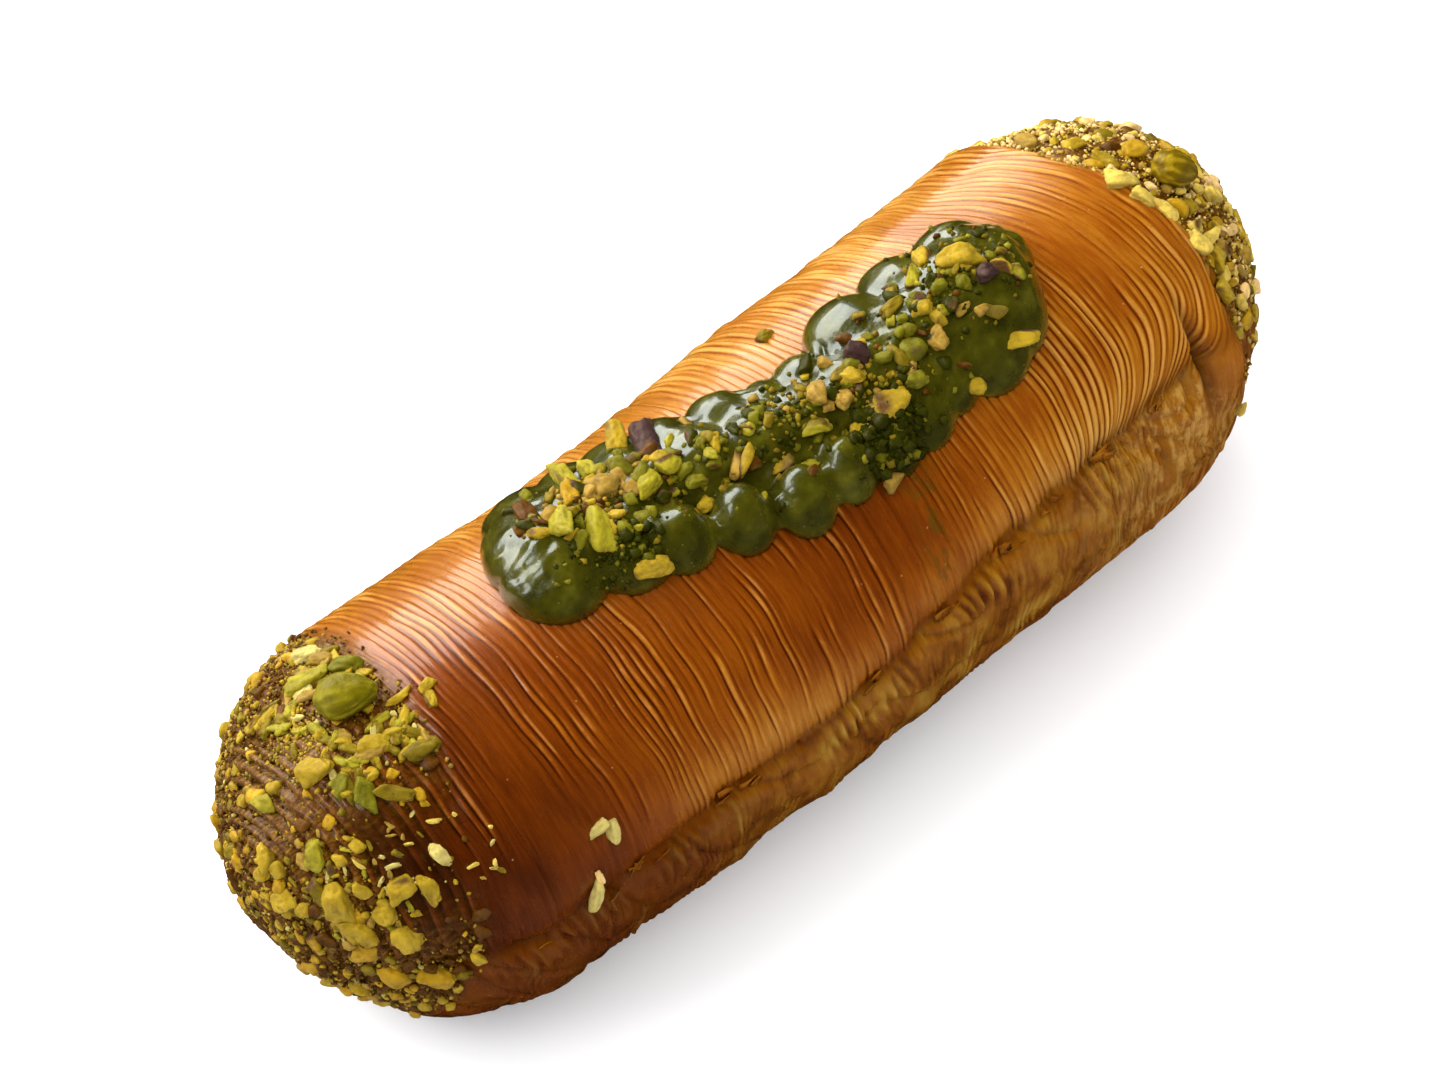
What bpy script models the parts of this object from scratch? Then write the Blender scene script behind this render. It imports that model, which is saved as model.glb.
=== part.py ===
"""Pistachio danish: a baked log of laminated dough, +X to the far end, front towards -Y, resting on z = 0.

The log is rolled from one sheet, so fine rings run round it and the sheet's edge leaves a groove along
the front with a paler band below it. Both ends are dipped in chopped nuts, each with one whole kernel,
and a row of piped cream spots under chopped nuts lies along the top. Sizes are in metres.
"""

import math
import random

import bmesh
import bpy
import numpy
from mathutils import Matrix, Vector, noise

MM = 0.001

# The log: its length, the lengths of its rounded ends, and its width, height and sideways
# shift at six even stations from the near end (-X) to the far end (+X).
LENGTH = 181.8 * MM
NEAR_DOME = 28.1 * MM
FAR_DOME = 34.7 * MM
WIDTHS = (57.6 * MM, 60.2 * MM, 59.8 * MM, 60.7 * MM, 60.7 * MM, 61.0 * MM)
HEIGHTS = (60.4 * MM, 54.1 * MM, 54.1 * MM, 56.0 * MM, 57.4 * MM, 59.7 * MM)
SHIFTS = (1.6 * MM, 0.5 * MM, -1.3 * MM, -1.0 * MM, -1.0 * MM, 2.1 * MM)
TOP_POWER = 1.90
BOTTOM_POWER = 2.19
DOME_POWER = 1.85
FOOT_CUT = 1.5 * MM
FLAT_FOOT = 1.0 * MM
UPPER_SIDE = 30 * MM

# Mesh of the log: rings across it and points round each ring, drawn together at the groove.
NEAR_RINGS = 12
STRAIGHT_RINGS = 52
FAR_RINGS = 14
RINGS = NEAR_RINGS + STRAIGHT_RINGS + FAR_RINGS
AROUND = 42
GROOVE_CROWDING = 0.55

# Relief of the crust: its pleats, broad rolls, and the groove where the sheet rounds over into the band.
PLEAT = 0.65 * MM
PLEAT_PATCH = 18 * MM
PLEAT_PATCH_SWING = 0.75
PLEAT_MEAN = 0.55
PLEAT_LEAST = 0.2
PLEAT_MOST = 1.2
ROLL = 0.45 * MM
ROLL_LENGTH = 14.3 * MM
ROLL_TURN = 1.1
GROOVE_ANGLES = (5, 10, 15.5, 15.5, 23.5, 30, 33, 33)
GROOVE_DEPTH = 2.0 * MM
GROOVE_ABOVE = 2.6 * MM
GROOVE_BELOW = 1.5 * MM
GROOVE_WANDER = 0.9 * MM
GROOVE_WANDER_LENGTH = 4.5 * MM
PINCH_LENGTH = 6 * MM
PINCH_SWING = 0.7
PINCH_MEAN = 0.75
RUN_NEAR = (-86 * MM, -74 * MM)
RUN_FAR = (60 * MM, 72 * MM)
BAND_REACH = 19 * MM
BAND_FADE = 8 * MM
BAND_SET_BACK = 0.3 * MM
BAND_LUMP = 1.3 * MM
BAND_LUMP_LENGTH = 13 * MM
BAND_LUMP_WIDTH = 16 * MM
BAND_LUMP_SLANT = 0.5
FAR_EDGE_ANGLES = (-90, 30, 55, 75, 92, 105, 130, 270)
FAR_EDGE = (69 * MM, 69 * MM, 70 * MM, 68 * MM, 65.5 * MM, 62.6 * MM, 62 * MM, 64 * MM)
COAT_SET_BACK = 1.0 * MM
COAT_FADE = 1.5 * MM
COAT_CRAG = 0.5 * MM
COAT_CRAG_SIZE = 3 * MM
CREAM_REACH = 2.5 * MM
FOLD_X = 64 * MM
FOLD_HALF_WIDTH = 3.0 * MM
FOLD_REACH = 4.6 * MM
FOLD_ANGLE = 26
FOLD_HALF_ANGLE = 13
FOLD_FADE_ANGLE = 4
FOLD_RISE = 2.6 * MM

# Whole kernels: station and angle of the seat, length, width, thickness and turn in degrees.
KERNEL_NEAR = (0.85, 100, 8.4 * MM, 6.3 * MM, 5.4 * MM, -35)
KERNEL_FAR = (2.38, 78.5, 7.4 * MM, 5.8 * MM, 5.0 * MM, -30)
SEAT_DEPTH = 0.8 * MM
KERNEL_SINK = 1.5 * MM

# The larger nut pieces in sight on the ends: station, angle, length and width in mm, turn.
NEAR_NUTS = (
    (0.91, 129, 4.4, 2.8, -40), (0.82, 118, 6.4, 3.0, -25), (0.95, 112, 5.0, 3.0, -70),
    (0.81, 85, 4.4, 3.2, -40), (0.90, 77, 5.6, 2.8, -10), (0.68, 76, 4.4, 3.6, 50),
    (0.64, 82, 4.0, 2.8, 30), (0.62, 92, 5.6, 4.0, -30), (0.75, 71, 5.0, 2.8, -50),
    (0.43, 106, 4.2, 2.8, -80), (0.43, 70, 4.6, 3.2, 45), (0.40, 45, 6.2, 4.4, 60),
    (0.54, 23, 5.2, 3.6, -80), (0.51, 35, 3.8, 2.8, -80), (0.60, 44, 3.6, 3.0, 0),
    (0.67, 40, 5.4, 2.6, -95), (0.75, 49, 3.8, 2.6, -80), (0.41, 29, 4.8, 3.6, -60),
    (0.36, 54, 4.2, 2.6, 80), (0.29, 90, 3.8, 2.8, 20), (0.48, -1, 4.8, 3.2, -60),
    (0.60, 1, 4.2, 2.8, -50), (0.40, 14, 4.2, 3.2, 0), (0.21, 60, 3.8, 3.0, 0),
)
FAR_NUTS = (
    (2.20, 86, 5.2, 3.6, -40), (2.21, 78, 3.8, 2.6, -70), (2.36, 94, 5.8, 3.2, 0),
    (2.24, 94, 5.0, 2.8, -80), (2.17, 122, 5.8, 3.2, 60), (2.50, 63, 4.0, 3.6, 0),
    (2.25, 71, 4.8, 2.8, -90), (2.27, 56, 4.6, 3.6, -60), (2.33, 49, 3.8, 2.8, 0),
    (2.25, 41, 4.6, 3.2, -80),
)

# Nut pieces on the sides of the ends that the photo doesn't show: how many, and their sizes.
HIDDEN_NUTS = 9
NUT_LARGEST = 4.6 * MM
NUT_SMALLEST = 3.2 * MM
NUT_THICKNESS = 0.75

# Nut pieces that lie loose on the crust: x, angle, length and width.
LOOSE_NUTS = (
    (-52.0 * MM, 32, 4.6 * MM, 3.0 * MM),
    (-57.3 * MM, 15, 4.4 * MM, 2.8 * MM),
    (-59.8 * MM, 90, 4.2 * MM, 2.2 * MM),
    (13.0 * MM, 121, 3.2 * MM, 2.0 * MM),
)

# Cream: spots piped in rows, each x, y and radius.
CREAM_GAP = 0.4 * MM
CREAM_RINGS = 46
CREAM_TOP_STEPS = 19
CREAM_UNDER_STEPS = 7
SPOT_BASE_HEIGHT = 2.4 * MM
SPOT_HEIGHT_PER_RADIUS = 0.45
SPOT_BLEND = 8
CREAM_NEAR = (
    (-35.9, 2.9, 7.6), (-33.4, 9.9, 7.4), (-31.2, 14.2, 6.2), (-26.2, -0.2, 7.2), (-28.0, 6.2, 8.0),
    (-32.3, 6.5, 10.2),
)
CREAM_FRONT = (
    (-20.2, -4.6, 4.8), (-11.9, -7.6, 4.7), (-3.5, -10.8, 4.5), (4.0, -11.2, 4.2),
    (11.0, -11.0, 5.2), (17.5, -10.5, 5.6), (23.5, -9.5, 5.2),
)
CREAM_BACK = (
    (-24.2, 13.4, 5.5), (-18.0, 11.8, 5.5), (-11.2, 9.6, 5.1), (-3.2, 6.8, 4.8),
    (2.6, 3.6, 4.0), (8.8, 2.8, 4.4), (19.3, 4.3, 6.5), (29.2, 5.0, 5.9), (38.6, 3.4, 6.5),
)
CREAM_SPINE = (
    (-20.0, 5.4, 8.0), (-11.0, 3.4, 7.0), (-2.5, -0.2, 6.5), (4.5, -2.4, 6.2), (11.0, -3.5, 6.5),
    (17.0, -4.0, 7.5), (25.0, -3.0, 8.5), (33.0, -2.5, 9.0), (31.5, -8.0, 8.0), (36.0, -7.0, 7.5),
    (40.0, -1.2, 7.0),
    (34.5, -3.6, 10.6),
)

# The larger nut pieces on the cream: x, y, length, width and turn in degrees.
TOP_NUTS = (
    (-32.7, 4.7, 6.0, 3.5, 50), (-29.6, 1.2, 6.5, 4.0, 55), (-28.5, 8.2, 5.0, 3.0, 60),
    (-34.2, 10.6, 5.0, 2.5, 65), (-24.0, 5.8, 4.5, 3.5, 80), (-25.3, 13.2, 5.0, 3.2, 75),
    (-22.3, 11.4, 4.0, 3.0, 70), (-13.9, 9.0, 6.5, 4.0, 60), (-16.2, 12.6, 5.4, 3.4, 50),
    (-19.7, 2.3, 4.2, 3.2, 0), (-15.2, 2.9, 4.6, 3.0, 10), (-14.2, -0.9, 3.6, 2.4, -20),
    (-14.4, -3.3, 3.0, 2.6, 0), (-7.5, -2.2, 7.0, 2.6, 38), (-2.6, -5.9, 3.8, 2.4, -20),
    (0.0, -8.0, 4.0, 2.2, -5), (-26.8, -6.3, 6.0, 3.4, -25), (6.0, -2.8, 4.5, 3.0, 60),
    (3.6, -6.0, 4.0, 3.0, -35), (8.6, -5.2, 3.5, 3.0, 10), (11.2, -3.8, 4.2, 3.0, -60),
    (8.2, -9.0, 3.8, 2.8, 0), (13.2, -9.6, 6.6, 4.2, -15), (14.4, -1.6, 5.0, 4.0, -50),
    (17.8, -10.0, 4.0, 2.6, -20), (23.6, 0.4, 5.0, 2.0, 5), (25.5, -3.0, 3.0, 2.6, -50),
    (24.2, -7.7, 3.6, 3.2, 20), (28.8, 2.0, 4.2, 2.2, 40), (32.2, 3.8, 4.0, 2.8, 70),
    (34.0, -0.5, 6.2, 3.8, -40), (35.4, -5.2, 4.0, 3.0, 10), (38.3, -5.4, 3.4, 2.2, -50),
    (34.4, -13.4, 5.4, 2.8, -22),
)
NUT_SINK = 0.30
NUT_RADIUS = 0.55


def along(values, u):
    """Smooth value at u (-1 at the near end, 1 at the far end) through evenly spaced stations."""
    place = (u + 1) / 2 * (len(values) - 1)
    i = min(max(int(place), 0), len(values) - 2)
    f = place - i
    a, b = values[i], values[i + 1]
    before = values[i - 1] if i > 0 else 2 * a - b
    after = values[i + 2] if i + 2 < len(values) else 2 * b - a
    return a + f * (b - before) / 2 + f * f * (before - 2.5 * a + 2 * b - after / 2) + f ** 3 * (
        1.5 * (a - b) + (after - before) / 2
    )


def bump(distance, half_width):
    """1 in the middle, falling softly to 0 beyond the half width."""
    return math.exp(-((distance / half_width) ** 2))


def step(low, high, value):
    """0 below low, 1 above high, and a soft ramp between them."""
    f = min(max((value - low) / (high - low), 0), 1)
    return f * f * (3 - 2 * f)


def profile(p):
    """Place along the log and size factor: p is 0 to 1 on the near dome, 1 to 2 straight, 2 to 3 far."""
    if 1 <= p <= 2:
        low = -LENGTH / 2 + NEAR_DOME
        return low + (p - 1) * (LENGTH - NEAR_DOME - FAR_DOME), 1.0
    dome = NEAR_DOME if p < 1 else FAR_DOME
    a = (1 - p if p < 1 else p - 2) * math.pi / 2
    reach = LENGTH / 2 - dome + dome * max(math.sin(a), 0) ** (2 / DOME_POWER)
    return (-reach if p < 1 else reach), max(math.cos(a), 0) ** (2 / DOME_POWER)


def surface(p, t):
    """Point of the plain log; t is 0 at the front, 90 degrees on top and 180 degrees at the back."""
    x, k = profile(p)
    u = 2 * x / LENGTH
    c, s = math.cos(t), math.sin(t)
    power = TOP_POWER if s >= 0 else BOTTOM_POWER
    r = (abs(c) ** power + abs(s) ** power) ** (-1 / power)
    height = along(HEIGHTS, u)
    y = along(SHIFTS, u) - k * along(WIDTHS, u) / 2 * c * r
    return Vector((x, y, height / 2 * (1 + k * s * r) - FOOT_CUT))


def outward(p, t):
    """Outward direction of the plain log."""
    dp, dt = 0.004, 0.01
    lengthwise = surface(min(p + dp, 2.999), t) - surface(max(p - dp, 0.001), t)
    round_it = surface(p, t + dt) - surface(p, t - dt)
    n = lengthwise.cross(round_it)
    if n.length < 1e-12:
        return Vector((-1 if p < 1 else 1, 0, 0))
    return n.normalized()


def station(x):
    """The p of a place x on the straight part or a dome."""
    low, high = 0.0, 3.0
    for _ in range(40):
        middle = (low + high) / 2
        if profile(middle)[0] < x:
            low = middle
        else:
            high = middle
    return low


def top_height(x, y):
    """Height of the plain log's top at x and y."""
    x, k = profile(station(x))
    u = 2 * x / LENGTH
    across = min(abs(y - along(SHIFTS, u)) / (k * along(WIDTHS, u) / 2), 1)
    height = along(HEIGHTS, u)
    return height / 2 * (1 + k * (1 - across ** TOP_POWER) ** (1 / TOP_POWER)) - FOOT_CUT


def groove_angle(x):
    """Angle of the groove at x."""
    return math.radians(along(GROOVE_ANGLES, 2 * x / LENGTH))


def near_edge(t):
    """Where the nut coat of the near end stops."""
    return (-70.5 + 9.5 * math.sin(t - math.radians(35))) * MM


def far_edge(t):
    """Where the nut coat of the far end starts."""
    return numpy.interp(math.degrees(t), FAR_EDGE_ANGLES, FAR_EDGE)


def cream_spots():
    """Every cream spot as x, y and radius in metres."""
    rows = CREAM_NEAR + CREAM_FRONT + CREAM_BACK + CREAM_SPINE
    return [(x * MM, y * MM, r * MM) for x, y, r in rows]


def cream_height(spots, x, y):
    """Thickness of the cream over the crust at x and y."""
    total = 0.0
    for sx, sy, r in spots:
        inside = 1 - ((x - sx) ** 2 + (y - sy) ** 2) / r ** 2
        if inside > 0:
            height = SPOT_BASE_HEIGHT + SPOT_HEIGHT_PER_RADIUS * r
            total += (height * math.sqrt(inside)) ** SPOT_BLEND
    return total ** (1 / SPOT_BLEND)


def cream_edges(spots, x):
    """Front and back edge of the cream at x."""
    front, back = [], []
    for sx, sy, r in spots:
        half = r * r - (x - sx) ** 2
        if half > 0:
            front.append(sy - math.sqrt(half))
            back.append(sy + math.sqrt(half))
    return min(front), max(back)


def under_cream(spots, x, y):
    """1 under the cream and 0 a little outside it."""
    near = min(math.hypot(x - sx, y - sy) - r for sx, sy, r in spots)
    return 1 - step(0, CREAM_REACH, near)


def seat(where, p, t):
    """How much of a kernel's seat is at p and t, from 0 to 1."""
    middle = surface(where[0], math.radians(where[1]))
    return bump((surface(p, t) - middle).length, where[2] * 0.6)


def soft(x, y, seed):
    """Smooth noise from about -1 to 1; each seed has its own pattern."""
    return noise.noise(Vector((x, y, seed)))


def fold_share(x, t):
    """1 where the sheet's last fold hangs over the groove at the far end."""
    beside = math.degrees(t) - FOLD_ANGLE
    return bump(x - FOLD_X, FOLD_REACH) * bump(beside, FOLD_HALF_ANGLE + FOLD_FADE_ANGLE)


def groove_and_band(x, t):
    """The groove that ends the sheet, and the lumpy band below it."""
    run = step(*RUN_NEAR, x) * (1 - step(*RUN_FAR, x)) * (1 - fold_share(x, t))
    from_groove = (t - groove_angle(x)) * along(WIDTHS, 0) / 2
    from_groove += GROOVE_WANDER * soft(x / GROOVE_WANDER_LENGTH, 0, 11)
    pinch = PINCH_MEAN + PINCH_SWING * soft(x / PINCH_LENGTH, 0, 17)
    side = GROOVE_ABOVE if from_groove > 0 else GROOVE_BELOW
    groove = -GROOVE_DEPTH * pinch * math.exp(-abs(from_groove) / side)
    in_band = step(-BAND_REACH - BAND_FADE, -BAND_REACH, from_groove) * (1 - step(-1 * MM, 0, from_groove))
    slanted = x + BAND_LUMP_SLANT * from_groove
    lumps = BAND_LUMP * soft(slanted / BAND_LUMP_LENGTH, from_groove / BAND_LUMP_WIDTH, 7.7) - BAND_SET_BACK
    return run * (groove + in_band * lumps)


def nut_coat(x, t, spot):
    """The set-back and the crags of the crust under the nut coat of either end."""
    near = 1 - step(-COAT_FADE, COAT_FADE, x - near_edge(t))
    far = step(-COAT_FADE, COAT_FADE, x - far_edge(t))
    return max(near, far) * (COAT_CRAG * noise.noise(spot / COAT_CRAG_SIZE) - COAT_SET_BACK)


def relief(spots, p, t, ridge):
    """Height of the crust over the plain log: ridge is 1 on a pleat and 0 between two."""
    spot = surface(p, t)
    x = spot.x
    if spot.z < FLAT_FOOT:
        return 0.0
    patches = PLEAT_MEAN + PLEAT_PATCH_SWING * noise.noise(spot / PLEAT_PATCH)
    pleats = PLEAT * (ridge - 0.5) * min(max(patches, PLEAT_LEAST), PLEAT_MOST)
    rolls = ROLL * soft(x / ROLL_LENGTH, t / ROLL_TURN, 3.1)
    angle = math.degrees(t)
    fold = FOLD_RISE * bump(x - FOLD_X, FOLD_HALF_WIDTH) * bump(angle - FOLD_ANGLE, FOLD_HALF_ANGLE)
    open_crust = pleats + rolls + groove_and_band(x, t) + fold
    seats = -SEAT_DEPTH * max(seat(KERNEL_NEAR, p, t), seat(KERNEL_FAR, p, t))
    hidden = under_cream(spots, x, spot.y) if spot.z > UPPER_SIDE else 0.0
    return (1 - hidden) * open_crust + nut_coat(x, t, spot) + seats


def crust_point(spots, p, t, ridge=0.5):
    """Point of the finished crust."""
    place = surface(p, t) + outward(p, t) * relief(spots, p, t, ridge)
    place.z = max(place.z, 0.0)
    return place


def ring_place(ring):
    """The p of a ring of the log's mesh."""
    if ring <= NEAR_RINGS:
        return ring / NEAR_RINGS
    if ring <= NEAR_RINGS + STRAIGHT_RINGS:
        return 1 + (ring - NEAR_RINGS) / STRAIGHT_RINGS
    return 2 + (ring - NEAR_RINGS - STRAIGHT_RINGS) / FAR_RINGS


def ring_and_step(direction, rings, around):
    """Which ring, and which step round it, a vertex of a unit sphere is on."""
    ring = round(math.acos(min(max(direction.z, -1), 1)) / math.pi * rings)
    return ring, round(math.atan2(direction.y, direction.x) / (2 * math.pi) * around) % around


def new_object(name, bm, collection, material):
    """A mesh object made from bm, its faces turned outwards."""
    bmesh.ops.recalc_face_normals(bm, faces=bm.faces)
    mesh = bpy.data.meshes.new(name)
    bm.to_mesh(mesh)
    bm.free()
    obj = bpy.data.objects.new(name, mesh)
    if material:
        mesh.materials.append(material)
    collection.objects.link(obj)
    return obj


def food_material(name, colour, roughness):
    """A plain opaque food colour."""
    material = bpy.data.materials.new(name)
    material.use_nodes = True
    shader = material.node_tree.nodes["Principled BSDF"]
    shader.inputs["Base Color"].default_value = (*colour, 1)
    shader.inputs["Roughness"].default_value = roughness
    shader.inputs["Metallic"].default_value = 0.0
    return material


def resting_frame(place, normal, turn):
    """A frame that lies on the surface at place, its X turned in the surface by turn."""
    first = Vector((1, 0, 0)) - normal * normal.x
    if first.length < 0.2:
        first = Vector((0, 0, 1)) - normal * normal.z
    first.normalize()
    second = normal.cross(first)
    x_axis = first * math.cos(turn) + second * math.sin(turn)
    y_axis = normal.cross(x_axis)
    frame = Matrix((x_axis, y_axis, normal)).transposed().to_4x4()
    frame.translation = place
    return frame


def add_nut(rng, collection, frame, length, width, thickness):
    """One chopped nut piece: a rough, flattened ball, sunk a little into what it lies on."""
    bm = bmesh.new()
    bmesh.ops.create_icosphere(bm, subdivisions=1, radius=NUT_RADIUS)
    tilt = Matrix.Rotation(rng.uniform(-0.3, 0.3), 4, "X")
    for v in bm.verts:
        v.co *= rng.uniform(0.88, 1.12)
        v.co = Vector((v.co.x * length, v.co.y * width, v.co.z * thickness))
        v.co.z += thickness * (0.5 - NUT_SINK)
        v.co = frame @ tilt @ v.co
    return new_object("nut", bm, collection, None)


def fuse(target, pieces):
    """Join a collection of pieces to target by one Boolean union, and remove the pieces."""
    union = target.modifiers.new("fuse", "BOOLEAN")
    union.operation = "UNION"
    union.operand_type = "COLLECTION"
    union.collection = pieces
    union.solver = "EXACT"
    bpy.context.view_layer.update()
    graph = bpy.context.evaluated_depsgraph_get()
    joined = bpy.data.meshes.new_from_object(target.evaluated_get(graph))
    target.modifiers.clear()
    target.data = joined
    for piece in list(pieces.objects):
        bpy.data.objects.remove(piece)
    bpy.data.collections.remove(pieces)


def keep_main_body(obj):
    """Drop loose scraps and sealed hollows, and close hairline slivers."""
    bm = bmesh.new()
    bm.from_mesh(obj.data)
    bmesh.ops.remove_doubles(bm, verts=bm.verts, dist=0.02 * MM)
    bmesh.ops.dissolve_degenerate(bm, edges=bm.edges, dist=0.01 * MM)
    bmesh.ops.triangulate(bm, faces=bm.faces)
    left = set(bm.verts)
    bodies = []
    while left:
        body, front = set(), [left.pop()]
        while front:
            v = front.pop()
            body.add(v)
            near = [e.other_vert(v) for e in v.link_edges]
            front.extend(n for n in near if n in left)
            left.difference_update(near)
        bodies.append(body)
    main = max(bodies, key=len)
    bmesh.ops.delete(bm, geom=[v for v in bm.verts if v not in main], context="VERTS")
    bm.to_mesh(obj.data)
    bm.free()


def nut_collection(name):
    """An empty collection in the scene for pieces that will be fused."""
    pieces = bpy.data.collections.new(name)
    bpy.context.scene.collection.children.link(pieces)
    return pieces


def lay_on_crust(rng, spots, pieces, p, t, length, width, turn):
    """One nut piece lying on the crust."""
    lie = resting_frame(crust_point(spots, p, t), outward(p, t), turn)
    add_nut(rng, pieces, lie, length, width, width * NUT_THICKNESS)


def hidden_nuts(rng, spots, pieces, places, beyond_edge, shown):
    """Pieces over the far sides of an end, largest first, each clear of every other."""
    taken = [(surface(p, math.radians(angle)), length * MM) for p, angle, length, _, _ in shown]
    for n in range(HIDDEN_NUTS):
        size = NUT_LARGEST + (NUT_SMALLEST - NUT_LARGEST) * n / HIDDEN_NUTS
        for _ in range(300):
            p, t = rng.uniform(*places), rng.uniform(-0.5, math.pi + 0.5)
            spot = surface(p, t)
            likely = rng.random() < profile(p)[1] + 0.1
            clear = all((spot - other).length > 0.9 * (size + s) for other, s in taken)
            if likely and clear and beyond_edge(spot.x, t) > size / 2 and spot.z > 6 * MM:
                taken.append((spot, size))
                lay_on_crust(rng, spots, pieces, p, t, size, size * 0.7, rng.uniform(0, math.pi))
                break


def end_nuts(rng, spots, pieces):
    """The nut pieces on both ends and the few that fell on the crust between them."""
    for p, angle, length, width, turn in NEAR_NUTS + FAR_NUTS:
        lay_on_crust(rng, spots, pieces, p, math.radians(angle), length * MM, width * MM, math.radians(turn))
    near_kernel, far_kernel = (
        (p, angle, 1.6 * length / MM, width, turn)
        for p, angle, length, width, _, turn in (KERNEL_NEAR, KERNEL_FAR)
    )
    hidden_nuts(rng, spots, pieces, (0.05, 1.2), lambda x, t: near_edge(t) - x, NEAR_NUTS + (near_kernel,))
    hidden_nuts(rng, spots, pieces, (2.0, 2.95), lambda x, t: x - far_edge(t), FAR_NUTS + (far_kernel,))
    for x, angle, length, width in LOOSE_NUTS:
        turn = rng.uniform(0, math.pi)
        lay_on_crust(rng, spots, pieces, station(x), math.radians(angle), length, width, turn)


def make_pastry(collection, spots):
    """The log with its rings, groove, lower band and fold, and the nut pieces on its ends."""
    bm = bmesh.new()
    bmesh.ops.create_uvsphere(bm, u_segments=AROUND, v_segments=RINGS, radius=1)
    for v in bm.verts:
        ring, turn = ring_and_step(v.co, RINGS, AROUND)
        p = ring_place(ring)
        w = turn / AROUND * 2 * math.pi
        t = groove_angle(profile(p)[0]) + w - GROOVE_CROWDING * math.sin(w)
        if t > 1.5 * math.pi:
            t -= 2 * math.pi
        v.co = crust_point(spots, p, t, ridge=ring % 2)
    crust = food_material("crust", (0.50, 0.20, 0.045), 0.35)
    pastry = new_object("pastry", bm, collection, crust)
    rng = random.Random(11)
    pieces = nut_collection("end_nuts")
    end_nuts(rng, spots, pieces)
    fuse(pastry, pieces)
    keep_main_body(pastry)
    return pastry


def make_cream(collection, spots):
    """The piped cream with its nut pieces: a rounded sheet from edge to edge over the crust."""
    low = min(x - r for x, _, r in spots)
    high = max(x + r for x, _, r in spots)
    inset = 0.05 * MM
    around = CREAM_TOP_STEPS + CREAM_UNDER_STEPS
    bm = bmesh.new()
    bmesh.ops.create_uvsphere(bm, u_segments=around, v_segments=CREAM_RINGS, radius=1)
    for v in bm.verts:
        ring, turn = ring_and_step(v.co, CREAM_RINGS, around)
        x = (low + high) / 2 - (high - low - inset) / 2 * math.cos(cream_ring_angle(ring))
        front, back = cream_edges(spots, x)
        on_top = turn <= CREAM_TOP_STEPS
        across = turn / CREAM_TOP_STEPS if on_top else (around - turn) / CREAM_UNDER_STEPS
        y = (front + back) / 2 - (back - front) / 2 * math.cos(math.pi * across)
        z = top_height(x, y) + CREAM_GAP
        if on_top:
            z += cream_height(spots, x, y)
        v.co = (x, y, z)
    cream = new_object("cream", bm, collection, food_material("cream", (0.055, 0.085, 0.022), 0.25))
    rng = random.Random(23)
    pieces = nut_collection("top_nuts")
    for x, y, length, width, turn in TOP_NUTS:
        place = Vector((x * MM, y * MM, 0))
        thickness = max(cream_height(spots, place.x, place.y), 1 * MM)
        place.z = top_height(place.x, place.y) + CREAM_GAP + thickness
        lie = resting_frame(place, Vector((0, 0, 1)), math.radians(turn))
        add_nut(rng, pieces, lie, length * MM, width * MM, width * NUT_THICKNESS * MM)
    fuse(cream, pieces)
    keep_main_body(cream)
    return cream


def cream_ring_angle(ring):
    """Angle that spaces the cream's rings: close at both tips and even between them."""
    f = ring / CREAM_RINGS
    return math.pi * (f - 0.06 * math.sin(2 * math.pi * f))


def make_kernel(name, collection, material, where):
    """A whole shelled kernel: egg-shaped, with the crease where its two halves meet."""
    p, angle, length, width, thickness, turn = where
    t = math.radians(angle)
    normal = outward(p, t)
    place = surface(p, t) + normal * (thickness / 2 - KERNEL_SINK)
    bm = bmesh.new()
    bmesh.ops.create_uvsphere(bm, u_segments=12, v_segments=10, radius=1)
    for v in bm.verts:
        taper = 1 - 0.16 * v.co.x
        crease = 1 - 0.06 * bump(v.co.z - 0.25 * v.co.x, 0.12)
        v.co = Vector((
            v.co.x * length / 2,
            v.co.y * width / 2 * taper * crease,
            v.co.z * thickness / 2 * taper,
        ))
    kernel = new_object(name, bm, collection, material)
    kernel.matrix_world = resting_frame(place, normal, math.radians(turn))
    return kernel


def main():
    for obj in list(bpy.data.objects):
        bpy.data.objects.remove(obj)
    danish = bpy.data.collections.new("pistachio_danish")
    bpy.context.scene.collection.children.link(danish)
    spots = cream_spots()
    green = food_material("kernel", (0.30, 0.33, 0.05), 0.5)
    parts = [
        make_pastry(danish, spots),
        make_cream(danish, spots),
        make_kernel("kernel_near", danish, green, KERNEL_NEAR),
        make_kernel("kernel_far", danish, green, KERNEL_FAR),
    ]
    for obj in parts:
        obj.data.shade_smooth()
        obj.data.set_sharp_from_angle(angle=math.radians(50))
        print(obj.name, len(obj.data.polygons), [round(d / MM, 1) for d in obj.dimensions])


main()
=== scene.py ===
# %% [markdown]
# # A pistachio danish
# The pastry is a baked log of laminated dough, with piped pistachio cream and chopped nuts on top and both
# ends dipped in nut crumbs. The solids that are loaded here have its sizes; this script gives each of them
# its finished surface. We work in millimetres and turn them into metres once, in `make_piece`. Angles go
# round the log: 0 is the front, 90 degrees the top and 180 degrees the back.

# %% Load the frame
import math
import random

import bmesh
import bpy
import numpy as np
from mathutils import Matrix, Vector, noise


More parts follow.
